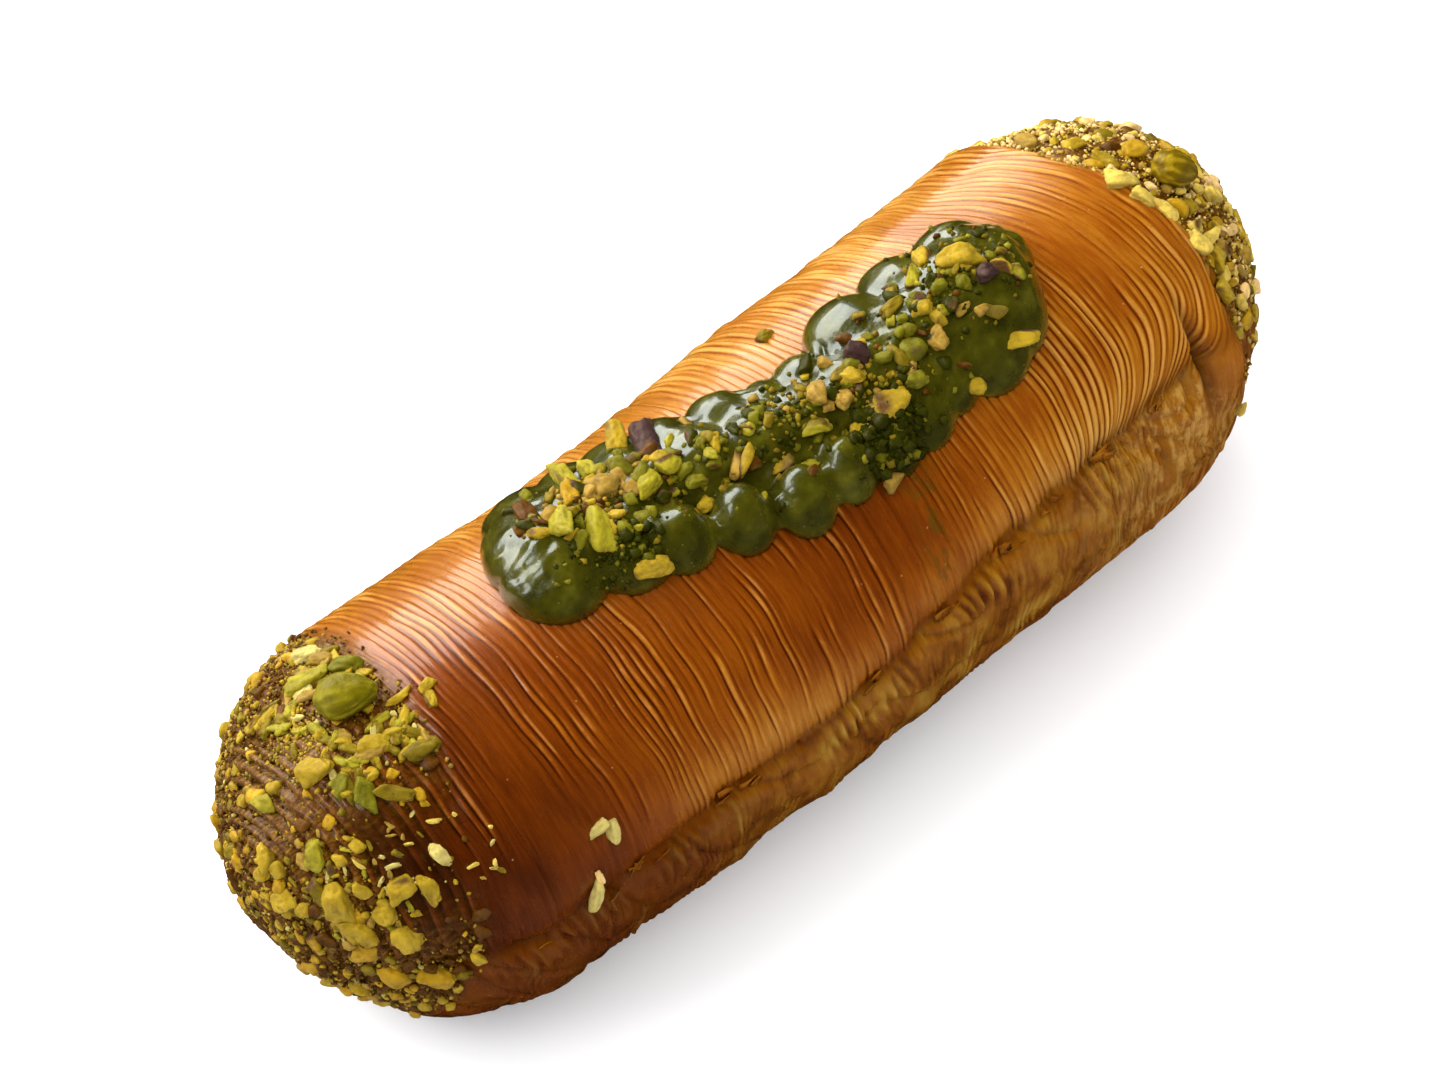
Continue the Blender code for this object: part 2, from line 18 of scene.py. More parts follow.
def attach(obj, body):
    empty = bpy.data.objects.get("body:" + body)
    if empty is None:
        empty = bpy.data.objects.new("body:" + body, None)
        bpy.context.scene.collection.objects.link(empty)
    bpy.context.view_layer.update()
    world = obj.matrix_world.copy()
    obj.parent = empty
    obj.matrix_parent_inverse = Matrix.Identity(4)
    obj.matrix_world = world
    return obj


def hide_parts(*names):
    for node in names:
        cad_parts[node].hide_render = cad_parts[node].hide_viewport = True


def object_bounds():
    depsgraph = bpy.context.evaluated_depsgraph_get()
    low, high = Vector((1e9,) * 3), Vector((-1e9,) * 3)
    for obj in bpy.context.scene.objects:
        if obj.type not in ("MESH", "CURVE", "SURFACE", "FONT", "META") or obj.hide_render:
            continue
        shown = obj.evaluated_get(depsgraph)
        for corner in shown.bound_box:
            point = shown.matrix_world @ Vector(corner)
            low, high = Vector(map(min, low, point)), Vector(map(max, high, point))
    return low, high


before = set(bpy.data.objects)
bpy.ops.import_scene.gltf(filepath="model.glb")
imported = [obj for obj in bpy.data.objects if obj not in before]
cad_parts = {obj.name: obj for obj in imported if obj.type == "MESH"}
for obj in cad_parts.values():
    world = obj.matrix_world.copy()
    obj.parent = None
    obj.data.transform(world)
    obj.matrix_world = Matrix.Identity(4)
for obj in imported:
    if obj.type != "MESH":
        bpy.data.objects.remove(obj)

MM = 0.001
cad_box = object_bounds()


def in_mm(box):
    """Both corners of a box, rounded for printing."""
    return [[round(c / MM, 1) for c in corner] for corner in box]


print("solids:", sorted(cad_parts), "box:", in_mm(cad_box))

# %% [markdown]
# ## The camera
# A long lens from well above flattens the log only a little. A camera in Blender looks along its own -Z
# axis, so we build that axis from two plain angles and let `to_track_quat` turn it into a rotation.

# %% Camera
CAMERA_TURN = math.radians(42.93)
CAMERA_RISE = math.radians(55)
CAMERA_DISTANCE = 0.5595
AIM_HEIGHT = 0.0285
AIM_LEFT = 0.0065
LENS = 100
SENSOR = 36

towards_camera = Vector((
    -math.sin(CAMERA_TURN) * math.cos(CAMERA_RISE),
    -math.cos(CAMERA_TURN) * math.cos(CAMERA_RISE),
    math.sin(CAMERA_RISE),
))
picture_right = Vector((math.cos(CAMERA_TURN), -math.sin(CAMERA_TURN), 0))
aim = Vector((0, 0, AIM_HEIGHT)) - picture_right * AIM_LEFT

camera_data = bpy.data.cameras.new("camera")
camera_data.lens = LENS
camera_data.sensor_width = SENSOR
camera = bpy.data.objects.new("camera", camera_data)
camera.location = aim + towards_camera * CAMERA_DISTANCE
camera.rotation_euler = towards_camera.to_track_quat("Z", "Y").to_euler()
bpy.context.scene.collection.objects.link(camera)
bpy.context.scene.camera = camera
print("camera at", [round(c, 3) for c in camera.location])

# %% [markdown]
# ## Light
# A wide low softbox stands behind the log, so the far slopes shine and the near side stays deep in colour. A
# huge panel overhead fills the shadows, but is left out of reflections, which keeps the glaze dark where it
# faces us. A small panel on the left draws the thin bright lines along the ridges.

# %% Light
# place, width and height in metres, power in watts, and whether it shows in reflections
PANELS = {
    "softbox": ((-0.06, 0.45, 0.29), 0.72, 0.40, 5.2, True),
    "overhead": ((0.0, 0.0, 1.6), 4.0, 4.0, 95.0, False),
    "ridge_light": ((-0.47, 0.14, 0.40), 0.14, 0.30, 0.8, True),
}
SURROUNDINGS = 0.12


def add_panel(name, place, width, height, power, in_reflections):
    """A flat lamp turned towards the log."""
    light = bpy.data.lights.new(name, "AREA")
    light.shape = "RECTANGLE"
    light.size, light.size_y = width, height
    light.energy = power
    light.cycles.use_multiple_importance_sampling = in_reflections
    lamp = bpy.data.objects.new(name, light)
    lamp.location = place
    lamp.rotation_euler = (Vector(place) - Vector((0, 0, AIM_HEIGHT))).to_track_quat("Z", "Y").to_euler()
    lamp.visible_camera = False
    lamp.visible_glossy = in_reflections
    bpy.context.scene.collection.objects.link(lamp)


def add_surroundings():
    """A dim even world that the glaze does not reflect."""
    world = bpy.data.worlds.new("surroundings")
    world.use_nodes = True
    background = world.node_tree.nodes["Background"]
    background.inputs["Color"].default_value = (1, 1, 1, 1)
    background.inputs["Strength"].default_value = SURROUNDINGS
    world.cycles_visibility.glossy = False
    bpy.context.scene.world = world


for panel, setting in PANELS.items():
    add_panel(panel, *setting)
add_surroundings()
print("panels:", ", ".join(PANELS))

# %% [markdown]
# ## Floor
# The floor only has to catch a soft shadow. It is white and glows a little, so that it stays white in the
# picture, and it is left out of reflections.

# %% Floor
FLOOR_SIZE = 6.0
FLOOR_DROP = 0.0002
FLOOR_WHITE = (0.92, 0.92, 0.93, 1)
FLOOR_GLOW = 0.14

bpy.ops.mesh.primitive_plane_add(size=FLOOR_SIZE, location=(0, 0, -FLOOR_DROP))
floor = bpy.context.object
floor.name = "floor"
floor_paint = bpy.data.materials.new("floor_white")
floor_paint.use_nodes = True
floor_shader = floor_paint.node_tree.nodes["Principled BSDF"]
floor_shader.inputs["Base Color"].default_value = FLOOR_WHITE
floor_shader.inputs["Roughness"].default_value = 0.9
floor_shader.inputs["Emission Color"].default_value = (1, 1, 1, 1)
floor_shader.inputs["Emission Strength"].default_value = FLOOR_GLOW
floor.data.materials.append(floor_paint)
floor.visible_glossy = False
bpy.context.scene.view_settings.view_transform = "Standard"
print("floor of", FLOOR_SIZE, "m")

# %% [markdown]
# ## The sizes of the log
# The solid is a log whose cross-section is a superellipse, with a rounded dome at each end. The same few
# sizes are written here again, because every finished piece has to lie on that form. Widths, heights and
# side shifts are given at evenly spaced places, and a smooth curve runs through them.

# %% Sizes of the log
LENGTH = 181.8
NEAR_DOME = 28.1
FAR_DOME = 34.7
WIDTHS = (57.6, 60.2, 59.8, 60.7, 60.7, 61.0)
HEIGHTS = (60.4, 54.1, 54.1, 56.0, 57.4, 59.7)
SHIFTS = (1.6, 0.5, -1.3, -1.0, -1.0, 2.1)
TOP_POWER = 1.90
BOTTOM_POWER = 2.19
DOME_POWER = 1.85
FOOT_CUT = 1.5


def along(values, u):
    """Smooth value at u (-1 near end, 1 far end) through evenly spaced places."""
    v = np.asarray(values, float)
    padded = np.concatenate(([2 * v[0] - v[1]], v, [2 * v[-1] - v[-2]]))
    place = (np.asarray(u, float) + 1) / 2 * (len(v) - 1)
    i = np.clip(place.astype(int), 0, len(v) - 2)
    f = place - i
    before, a, b, after = padded[i], padded[i + 1], padded[i + 2], padded[i + 3]
    cubic = 1.5 * (a - b) + (after - before) / 2
    return a + f * (b - before) / 2 + f * f * (before - 2.5 * a + 2 * b - after / 2) + f ** 3 * cubic


print("width at both tips and in the middle:", along(WIDTHS, np.array((-1, 0, 1))).round(1))

# %% [markdown]
# ## Stations along the log
# On a dome, equal steps in x would crowd the points on its steep side. So places are counted in stations:
# 0 to 1 over the near dome, 1 to 2 along the straight part and 2 to 3 over the far dome. `numpy` works on
# all points of a surface at once, so these helpers take arrays.

# %% Stations
STATIONS = np.linspace(0, 3, 3001)


def place_along(p):
    """x of a station."""
    p = np.asarray(p, float)
    straight = LENGTH - NEAR_DOME - FAR_DOME
    middle = -LENGTH / 2 + NEAR_DOME + (np.clip(p, 1, 2) - 1) * straight
    near = NEAR_DOME * np.sin(np.clip(1 - p, 0, 1) * math.pi / 2) ** (2 / DOME_POWER)
    far = FAR_DOME * np.sin(np.clip(p - 2, 0, 1) * math.pi / 2) ** (2 / DOME_POWER)
    return middle - near + far


def station(x):
    """The station of a place x."""
    return np.interp(x, place_along(STATIONS), STATIONS)


def size_at(x):
    """Size factor at x: 1 on the straight part, 0 at both tips."""
    into_near = (-LENGTH / 2 + NEAR_DOME - x) / NEAR_DOME
    into_far = (x - LENGTH / 2 + FAR_DOME) / FAR_DOME
    into = np.clip(np.maximum(into_near, into_far), 0, 1)
    return (1 - into ** DOME_POWER) ** (1 / DOME_POWER)


print("station of the middle:", round(float(station(0.0)), 3))

# %% [markdown]
# ## Points of the plain log
# One function gives the point at a place and an angle, another the height of the upper side, and `outward`
# the direction away from the surface, from two small steps along it.

# %% Points of the log
STATION_STEP, ANGLE_STEP = 0.004, 0.01
TIP_MARGIN = 0.001


def log_point(x, t):
    """Points of the plain log at x and angle t."""
    x, t = np.broadcast_arrays(np.asarray(x, float), np.asarray(t, float))
    u = 2 * x / LENGTH
    k = size_at(x)
    c, s = np.cos(t), np.sin(t)
    power = np.where(s >= 0, TOP_POWER, BOTTOM_POWER)
    r = (np.abs(c) ** power + np.abs(s) ** power) ** (-1 / power)
    y = along(SHIFTS, u) - k * along(WIDTHS, u) / 2 * c * r
    z = along(HEIGHTS, u) / 2 * (1 + k * s * r) - FOOT_CUT
    return np.stack([x, y, z], axis=-1)


def top_height(x, y):
    """Height of the plain log's upper side over x and y."""
    u = 2 * x / LENGTH
    k = size_at(x)
    across = np.clip(np.abs(y - along(SHIFTS, u)) / (k * along(WIDTHS, u) / 2), 0, 1)
    return along(HEIGHTS, u) / 2 * (1 + k * (1 - across ** TOP_POWER) ** (1 / TOP_POWER)) - FOOT_CUT


def outward(p, t):
    """Outward directions of the plain log at station p and angle t."""
    after, before = np.minimum(p + STATION_STEP, 3 - TIP_MARGIN), np.maximum(p - STATION_STEP, TIP_MARGIN)
    lengthwise = log_point(place_along(after), t) - log_point(place_along(before), t)
    around = log_point(place_along(p), t + ANGLE_STEP) - log_point(place_along(p), t - ANGLE_STEP)
    n = np.cross(lengthwise, around)
    return n / np.maximum(np.linalg.norm(n, axis=-1, keepdims=True), 1e-12)


print("crown heights:", [round(float(top_height(np.array(x), np.array(0.0))), 1) for x in (-60, 0, 60)])

# %% [markdown]
# ## Axes for a piece that lies on a surface
# A nut or a flake is modelled flat, with its own x, y and z. To lay it on the log we need three axes: one
# straight out of the surface, and two in it, turned by any angle.

# %% Resting frame
NEARLY_ALONG = 0.2


def resting_frame(normal, turn):
    """Three axes that lie on a surface, the first turned in the surface."""
    first = np.array((1.0, 0, 0)) - normal * normal[0]
    if np.linalg.norm(first) < NEARLY_ALONG:
        first = np.array((0, 0, 1.0)) - normal * normal[2]
    first /= np.linalg.norm(first)
    second = np.cross(normal, first)
    x_axis = first * math.cos(turn) + second * math.sin(turn)
    return np.stack([x_axis, np.cross(normal, x_axis), normal])


print("axes on a flat surface:", resting_frame(np.array((0.0, 0.0, 1.0)), 0.0).tolist())

# %% [markdown]
# ## Helpers for soft change
# Food has hardly any hard borders. `ramp_up` fades from 0 to 1, `hill` is a soft hump, and `bumps` reads
# Blender's own smooth noise at many places. The noise repeats exactly on every run, and the third number
# only picks another pattern.

# %% Soft change
def ramp_up(low, high, value):
    """0 below low, 1 above high, and a soft ramp between."""
    f = np.clip((value - low) / (high - low), 0, 1)
    return f * f * (3 - 2 * f)


def hill(distance, half_width):
    """1 in the middle, falling softly to 0 beyond the half width."""
    return np.exp(-((distance / half_width) ** 2))


def soft_noise(points, size, offset=0.0):
    """Smooth noise from -1 to 1 at points; size is that of one bump, and offset picks another pattern."""
    flat = np.asarray(points, float).reshape(-1, 3) / size + offset
    read = noise.noise
    values = np.fromiter((read(row) for row in flat.tolist()), float, len(flat))
    return values.reshape(np.asarray(points).shape[:-1])


def stack3(a, b, c):
    """Three arrays as the x, y and z of points."""
    return np.stack(np.broadcast_arrays(np.asarray(a, float), b, c), axis=-1)


def bumps(a, b, pattern):
    """Smooth bumps, about one unit wide, over a and b."""
    return soft_noise(stack3(a, b, pattern), 1.0)


def span(values):
    """Lowest and highest value, rounded for printing."""
    return [round(float(values.min()), 2), round(float(values.max()), 2)]


print("bumps lie within", span(bumps(np.linspace(0, 50, 500), 0.0, 0.5)))

# %% [markdown]
# ## From arrays to a mesh
# A closed skin can be a grid of points: rows along the piece, steps round it, and one tip at each end. Every
# value that the material will need later, such as how dark the crust is baked, is stored on the points as
# a named attribute.

# %% Mesh helpers
def tube_faces(rows, around):
    """Faces of a closed grid of rows and steps, whose two tips are the last two points."""
    first = np.arange(rows - 1)[:, None] * around
    here = np.arange(around)
    beside = (here + 1) % around
    quads = np.stack([first + here, first + around + here, first + around + beside, first + beside], axis=-1)
    near_tip, far_tip = rows * around, rows * around + 1
    last = (rows - 1) * around
    near_fan = [(near_tip, int(a), int(b)) for a, b in zip(here, beside)]
    far_fan = [(far_tip, int(last + b), int(last + a)) for a, b in zip(here, beside)]
    return quads.reshape(-1, 4).tolist() + near_fan + far_fan


def with_tips(values, near, far):
    """Values of a grid as one row for each point, with those of both tips at the end."""
    flat = values.reshape(-1, values.shape[-1]) if values.ndim == 3 else values.ravel()
    tips = np.array([near, far], float)
    return np.concatenate([flat, tips.reshape(2, -1) if flat.ndim == 2 else tips])


print("faces of a tube of 3 rows and 8 steps:", len(tube_faces(3, 8)))

# %% [markdown]
# ## A finished piece
# Blender keeps a mesh apart from the object that shows it. `make_piece` makes both, stores the attributes
# and tells the frame which body the piece moves with. `foreach_set` copies a whole array in one go.

# %% Make a piece
def set_attribute(mesh, name, values):
    """Store one number, one vector or one colour for each point of a mesh."""
    width = 1 if values.ndim == 1 else values.shape[1]
    kind, key = {1: ("FLOAT", "value"), 3: ("FLOAT_VECTOR", "vector"), 4: ("FLOAT_COLOR", "color")}[width]
    layer = mesh.attributes.new(name, kind, "POINT")
    layer.data.foreach_set(key, np.ascontiguousarray(values, np.float32).ravel())


def make_piece(name, points_mm, faces, material, attributes):
    """A smooth mesh object in metres, kept inside the box of the solids."""
    low, high = (np.array(corner) for corner in cad_box)
    points = np.clip(np.asarray(points_mm).reshape(-1, 3) * MM, low, high)
    mesh = bpy.data.meshes.new(name)
    mesh.from_pydata(points.tolist(), [], faces)
    mesh.materials.append(material)
    for key, values in attributes.items():
        set_attribute(mesh, key, values)
    mesh.shade_smooth()
    piece = bpy.data.objects.new(name, mesh)
    bpy.context.scene.collection.objects.link(piece)
    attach(piece, "root")
    print(name, len(mesh.vertices), "points", sum(len(f) - 2 for f in faces), "triangles")
    return piece


# %% [markdown]
# ## Materials as sums
# A procedural material is a small graph of nodes. These helpers add one node each and return its output, so
# a recipe reads like a sum: a pattern times a number, plus an attribute.

# %% Sums in a material
def feed(tree, socket, value):
    """Connect an output, or write a plain number or colour."""
    if isinstance(value, bpy.types.NodeSocket):
        tree.links.new(value, socket)
    elif isinstance(value, tuple) and len(value) == 3 and len(socket.default_value) == 4:
        socket.default_value = (*value, 1)
    else:
        socket.default_value = value


def attribute(tree, name, output="Fac"):
    """Read a stored attribute."""
    reader = tree.nodes.new("ShaderNodeAttribute")
    reader.attribute_name = name
    return reader.outputs[output]


def calc(tree, operation, a, b, clamp=False):
    """Two values put together."""
    maths = tree.nodes.new("ShaderNodeMath")
    maths.operation = operation
    maths.use_clamp = clamp
    feed(tree, maths.inputs[0], a)
    feed(tree, maths.inputs[1], b)
    return maths.outputs[0]


def plus(tree, a, b):
    """The sum of two values."""
    return calc(tree, "ADD", a, b)


def times(tree, a, b, clamp=False):
    """The product of two values."""
    return calc(tree, "MULTIPLY", a, b, clamp)


def scaled(tree, value, factor, offset=0.0):
    """A value times a factor, plus an offset."""
    return plus(tree, times(tree, value, factor), offset)


def fade(tree, value, low, high):
    """0 at low and 1 at high, with a soft ramp between; low may be above high."""
    ranger = tree.nodes.new("ShaderNodeMapRange")
    ranger.interpolation_type = "SMOOTHSTEP"
    feed(tree, ranger.inputs["Value"], value)
    ranger.inputs["From Min"].default_value = low
    ranger.inputs["From Max"].default_value = high
    return ranger.outputs["Result"]


print("sums ready")

# %% [markdown]
# ## Patterns
# Two patterns are enough for this pastry: clouds of noise, which become streaks when they are stretched, and
# round specks, which are the middles of some of the cells of a Voronoi texture.

# %% Patterns in a material
SPECK_EDGE = 0.02


def cloud(tree, vector, scale, detail=3.0, roughness=0.55):
    """Noise from 0 to 1; scale is bumps per unit of the vector."""
    texture = tree.nodes.new("ShaderNodeTexNoise")
    texture.inputs["Scale"].default_value = scale
    texture.inputs["Detail"].default_value = detail
    texture.inputs["Roughness"].default_value = roughness
    tree.links.new(vector, texture.inputs["Vector"])
    return texture.outputs["Fac"]


def streaks(tree, wrap, per_mm, detail=3.0, roughness=0.55):
    """Noise that is stretched: per_mm is its bumps per mm along the log and round it."""
    mapping = tree.nodes.new("ShaderNodeMapping")
    mapping.inputs["Scale"].default_value = (*per_mm, 1)
    tree.links.new(wrap, mapping.inputs["Vector"])
    return cloud(tree, mapping.outputs["Vector"], 1.0, detail, roughness)


def specks(tree, vector, scale, radius, share):
    """Round specks: 1 inside a speck, 0 outside; share is how many cells have one."""
    cells = tree.nodes.new("ShaderNodeTexVoronoi")
    cells.inputs["Scale"].default_value = scale
    tree.links.new(vector, cells.inputs["Vector"])
    inside = fade(tree, cells.outputs["Distance"], radius, radius / 2)
    pick = tree.nodes.new("ShaderNodeSeparateColor")
    tree.links.new(cells.outputs["Color"], pick.inputs[0])
    return times(tree, inside, fade(tree, pick.outputs[0], share, share - SPECK_EDGE))


print("patterns ready")

# %% [markdown]
# ## Colour and fine relief
# `shades` turns a number into a colour, `covered` lays one colour over another, and `raise_surface` adds
# relief that is too fine for a mesh. All of them work on the shader that every new material starts with.

# %% Colour in a material
def shades(tree, value, stops):
    """A colour ramp from (place, colour) stops."""
    ramp = tree.nodes.new("ShaderNodeValToRGB")
    band = ramp.color_ramp
    while len(band.elements) < len(stops):
        band.elements.new(0.5)
    for element, (place, colour) in zip(band.elements, stops):
        element.position = place
        element.color = (*colour, 1)
    feed(tree, ramp.inputs["Fac"], value)
    return ramp.outputs["Color"]


def covered(tree, colour, cover_colour, share, kind="MIX"):
    """A colour, covered by another one to the given share."""
    mix = tree.nodes.new("ShaderNodeMix")
    mix.data_type = "RGBA"
    mix.blend_type = kind
    feed(tree, mix.inputs["Factor"], share)
    feed(tree, mix.inputs["A"], colour)
    feed(tree, mix.inputs["B"], cover_colour)
    return mix.outputs["Result"]


def raise_surface(tree, height, distance, below=None):
    """A bump from a height of 0 to 1; distance is its real depth in metres."""
    bump = tree.nodes.new("ShaderNodeBump")
    bump.inputs["Distance"].default_value = distance
    bump.inputs["Strength"].default_value = 1.0
    tree.links.new(height, bump.inputs["Height"])
    if below:
        tree.links.new(below, bump.inputs["Normal"])
    return bump.outputs["Normal"]


def new_material(name, roughness, **settings):
    """A material with its node tree and shader; a setting's underscores stand for spaces."""
    material = bpy.data.materials.new(name)
    material.use_nodes = True
    shader = material.node_tree.nodes["Principled BSDF"]
    shader.inputs["Roughness"].default_value = roughness
    for key, value in settings.items():
        shader.inputs[key.replace("_", " ")].default_value = value
    return material, material.node_tree, shader


print("colours ready")

# %% [markdown]
# ## The crust's map
# The dough is one laminated sheet rolled round the log, so fine ridges run round it about a millimetre
# apart. The sheet's edge leaves a groove along the front with a paler band below it, its last fold hangs over
# that groove at the far end, and at both ends the nut coat begins. These helpers say where each of them lies.

# %% Where things are on the crust
GROOVE_ANGLES = (5, 10, 15.5, 15.5, 23.5, 30, 33, 33)
FOLD_X, FOLD_HALF_WIDTH, FOLD_REACH = 64, 3.0, 4.6
FOLD_ANGLE, FOLD_HALF_ANGLE = 26, 13
NEAR_EDGE, NEAR_EDGE_SLANT, NEAR_EDGE_TURN = -70.5, 9.5, math.radians(35)
FAR_EDGE_ANGLES = (-90, 30, 55, 75, 92, 105, 130, 270)
FAR_EDGE = (69, 69, 70, 68, 65.5, 62.6, 62, 64)
EDGE_FADE = 1.5


def groove_angle(x):
    """Angle of the groove at x."""
    return np.radians(along(GROOVE_ANGLES, 2 * x / LENGTH))


def fold_share(x, t):
    """1 where the sheet's last fold hangs over the groove at the far end."""
    return hill(x - FOLD_X, FOLD_REACH) * hill(np.degrees(t) - FOLD_ANGLE, FOLD_HALF_ANGLE + 4)


def coat_share(x, t):
    """1 inside the nut coat of either end, 0 on the open crust."""
    near_edge = NEAR_EDGE + NEAR_EDGE_SLANT * np.sin(t - NEAR_EDGE_TURN)
    far_edge = np.interp(np.degrees(t), FAR_EDGE_ANGLES, FAR_EDGE)
    near = 1 - ramp_up(-EDGE_FADE, EDGE_FADE, x - near_edge)
    return np.maximum(near, ramp_up(-EDGE_FADE, EDGE_FADE, x - far_edge))


print("groove angle in the middle:", round(math.degrees(groove_angle(0.0)), 1), "degrees")

# %% [markdown]
# ## How thick the nut coat is
# On the near end the nuts lie dense below and on top, thin on the dark shoulder that faces us and on the
# folds at the left. The far end is dense on top, with bare dough low at the front. One map is for the fine
# dust, one for the coarse crumbs, and one for the olive stain that nut paste leaves on the dough.

# %% How thick the coat is
def near_cover(x, t):
    """How thickly the near end is covered."""
    angle = np.degrees(t)
    shoulder = hill(angle - 48, 40) * ramp_up(-84, -78, x)
    folds = hill(angle - 98, 26) * (1 - ramp_up(-83, -79, x)) * ramp_up(-90, -87, x)
    return np.clip(1 - 1.1 * shoulder - 0.5 * folds, 0.03, 1)


def far_cover(x, t):
    """How thickly the far end is covered."""
    return np.clip(0.08 + 0.92 * ramp_up(20, 44, np.degrees(t) + 1.2 * (x - 68)), 0, 1)


def cover(x, t):
    """Cover of either end."""
    return np.where(x < 0, near_cover(x, t), far_cover(x, t)) * coat_share(x, t)


def coarse_cover(x, t):
    """Cover with crumbs: few of them high on the ends, where the coat is fine grained."""
    angle = np.degrees(t)
    not_back = 1 - ramp_up(150, 170, angle)
    near_top = ramp_up(66, 84, angle) * not_back * ramp_up(-89, -86, x) * (x < 0)
    far_top = ramp_up(96, 108, angle) * not_back * (x > 0)
    return cover(x, t) * (1 - 0.72 * near_top - 0.6 * far_top)


def paste_share(x, t):
    """Where nut paste and fat stain the crust olive: over the ends, but not on the dark shoulder."""
    shoulder = hill(np.degrees(t) - 46, 38) * ramp_up(-85, -78, x)
    return np.where(x < 0, 1 - shoulder, 0.25 + 0.75 * far_cover(x, t)) * coat_share(x, t)


print("cover on the shoulder:", round(float(cover(-75.0, math.radians(48))), 2))

# %% [markdown]
# ## The rings
# The ridges could be a bump in the material, but at this distance they are real steps that catch the light,
# so they are modelled: every ring gets a groove, a rise, a flat crown and a fall. The rows of the mesh follow
# the rings, so no ridge is ever cut by the grid.

# %% Rings
RING_PITCH, DOME_RING_PITCH = 1.15, 1.9
RING_SPREAD = (0.74, 1.26)
# place in the ring's width, height, and share of the painted highlight along its near flank
RING_STEPS = ((0.0, 0.0, 0.0), (0.24, 0.8, 0.9), (0.5, 1.0, 0.6), (0.78, 0.7, 0.1))
FIRST_RING, LAST_RING = 0.4, 2.2
BEFORE_STRAIGHT, AFTER_STRAIGHT = 8, 12
MEAN_RADIUS = 29.0


def ring_rows():
    """Station, height in the ring's section, painted highlight share and ring number of every row of the
    mesh.
    """
    rng = random.Random(5)
    x = place_along(STATIONS)
    reach = np.concatenate(([0], np.cumsum(np.hypot(np.diff(x), np.diff(size_at(x)) * MEAN_RADIUS))))
    near_dome, far_dome = np.interp((1.0, 2.0), STATIONS, reach)
    rows = []
    start, ring = FIRST_RING, 0
    while start < reach[-1] - LAST_RING:
        on_dome = start < near_dome - BEFORE_STRAIGHT or start > far_dome + AFTER_STRAIGHT
        width = (DOME_RING_PITCH if on_dome else RING_PITCH) * rng.uniform(*RING_SPREAD)
        for part, height, ridge_highlight in RING_STEPS:
            rows.append((np.interp(start + part * width, reach, STATIONS), height, ridge_highlight, ring))
        start += width
        ring += 1
    return np.array(rows).T


row_p, row_height, row_highlight, row_ring = ring_rows()
row_ring = row_ring.astype(int)
RINGS = row_ring[-1] + 1
print(RINGS, "rings in", len(row_p), "rows")

# %% [markdown]
# ## The rings' course
# The rings are not quite straight: they wander a little, slant above the groove, and bend back towards the
# near end at the far bend of the log. The steps round the log are crowded towards the groove, where the form
# changes fastest.

# %% The rings' course
AROUND = 150
GROOVE_CROWDING = 0.55
BEND, BEND_ANGLE = -8, 55


def ring_bend(x, t):
    """How far a ring is pulled along the log."""
    angle = np.degrees(t)
    above = np.clip((angle - BEND_ANGLE) / 65, 0, 1.1) ** 2
    below = np.clip((BEND_ANGLE - angle) / 25, 0, 1) ** 2
    bend = BEND * ramp_up(25, 60, x) * (1 - ramp_up(70, 84, x)) * np.where(angle > BEND_ANGLE, above, below)
    wide = bumps(x / 24, t * 1.3, 2.0)
    fine = 0.5 * bumps(x / 4.5, t * 3.6, 5.0)
    slanted = 1.5 * bumps(x / 7, t * 4.0, 15.0) * (1 - ramp_up(0, 12, angle)) * (angle > -40)
    return bend + (wide + fine + slanted) * ramp_up(0.45, 0.8, size_at(x))


turns = np.arange(AROUND) / AROUND * 2 * math.pi
base_x = place_along(row_p)[:, None]
angles = groove_angle(base_x) + turns - GROOVE_CROWDING * np.sin(turns)
angles = np.where(angles > 1.5 * math.pi, angles - 2 * math.pi, angles)
crust_x = base_x + ring_bend(base_x, angles)
plain = log_point(crust_x, angles)
in_coat = coat_share(crust_x, angles)
print("rings bend by", span(crust_x - base_x), "mm")

# %% [markdown]
# ## Groove and band
# The heights are now added up over the plain form, one kind at a time. First comes the groove, deepest in
# its middle and pinched here and there. Below it lies the band, the edge of the sheet: set back a little,
# lumpy, creased, and wrinkled where it meets the groove. It gets more ragged towards the far end.

# %% Groove and band
GROOVE_DEPTH, GROOVE_ABOVE, GROOVE_BELOW, GROOVE_WANDER = 2.0, 2.6, 1.5, 0.9
BAND_REACH, BAND_SET_BACK, BAND_LUMP, BAND_CREASE = 19, 0.3, 1.3, 0.9
# height on the near part, extra height where ragged, slant, sizes along and down, and pattern
SMALL_LUMPS = ((0.35, 0.5, 0.4, 4.5, 7, 27.0), (0.16, 0.25, 0.3, 1.5, 3.5, 37.0))
WRINKLE, WRINKLE_PITCH = 0.45, 1.75
FOOT_RUFFLE = 0.35


def band_wrinkles(x, up):
    """Fine wrinkles across the upper part of the band, in patches."""
    wavy = x + 0.25 * up + 1.3 * bumps(x / 6, up / 9, 41.0)
    wrinkled = ramp_up(-0.15, 0.2, bumps(x / 8, up / 12, 43.0))
    return wrinkled * ramp_up(-11, -5, up) * np.sin(2 * math.pi * wavy / WRINKLE_PITCH)


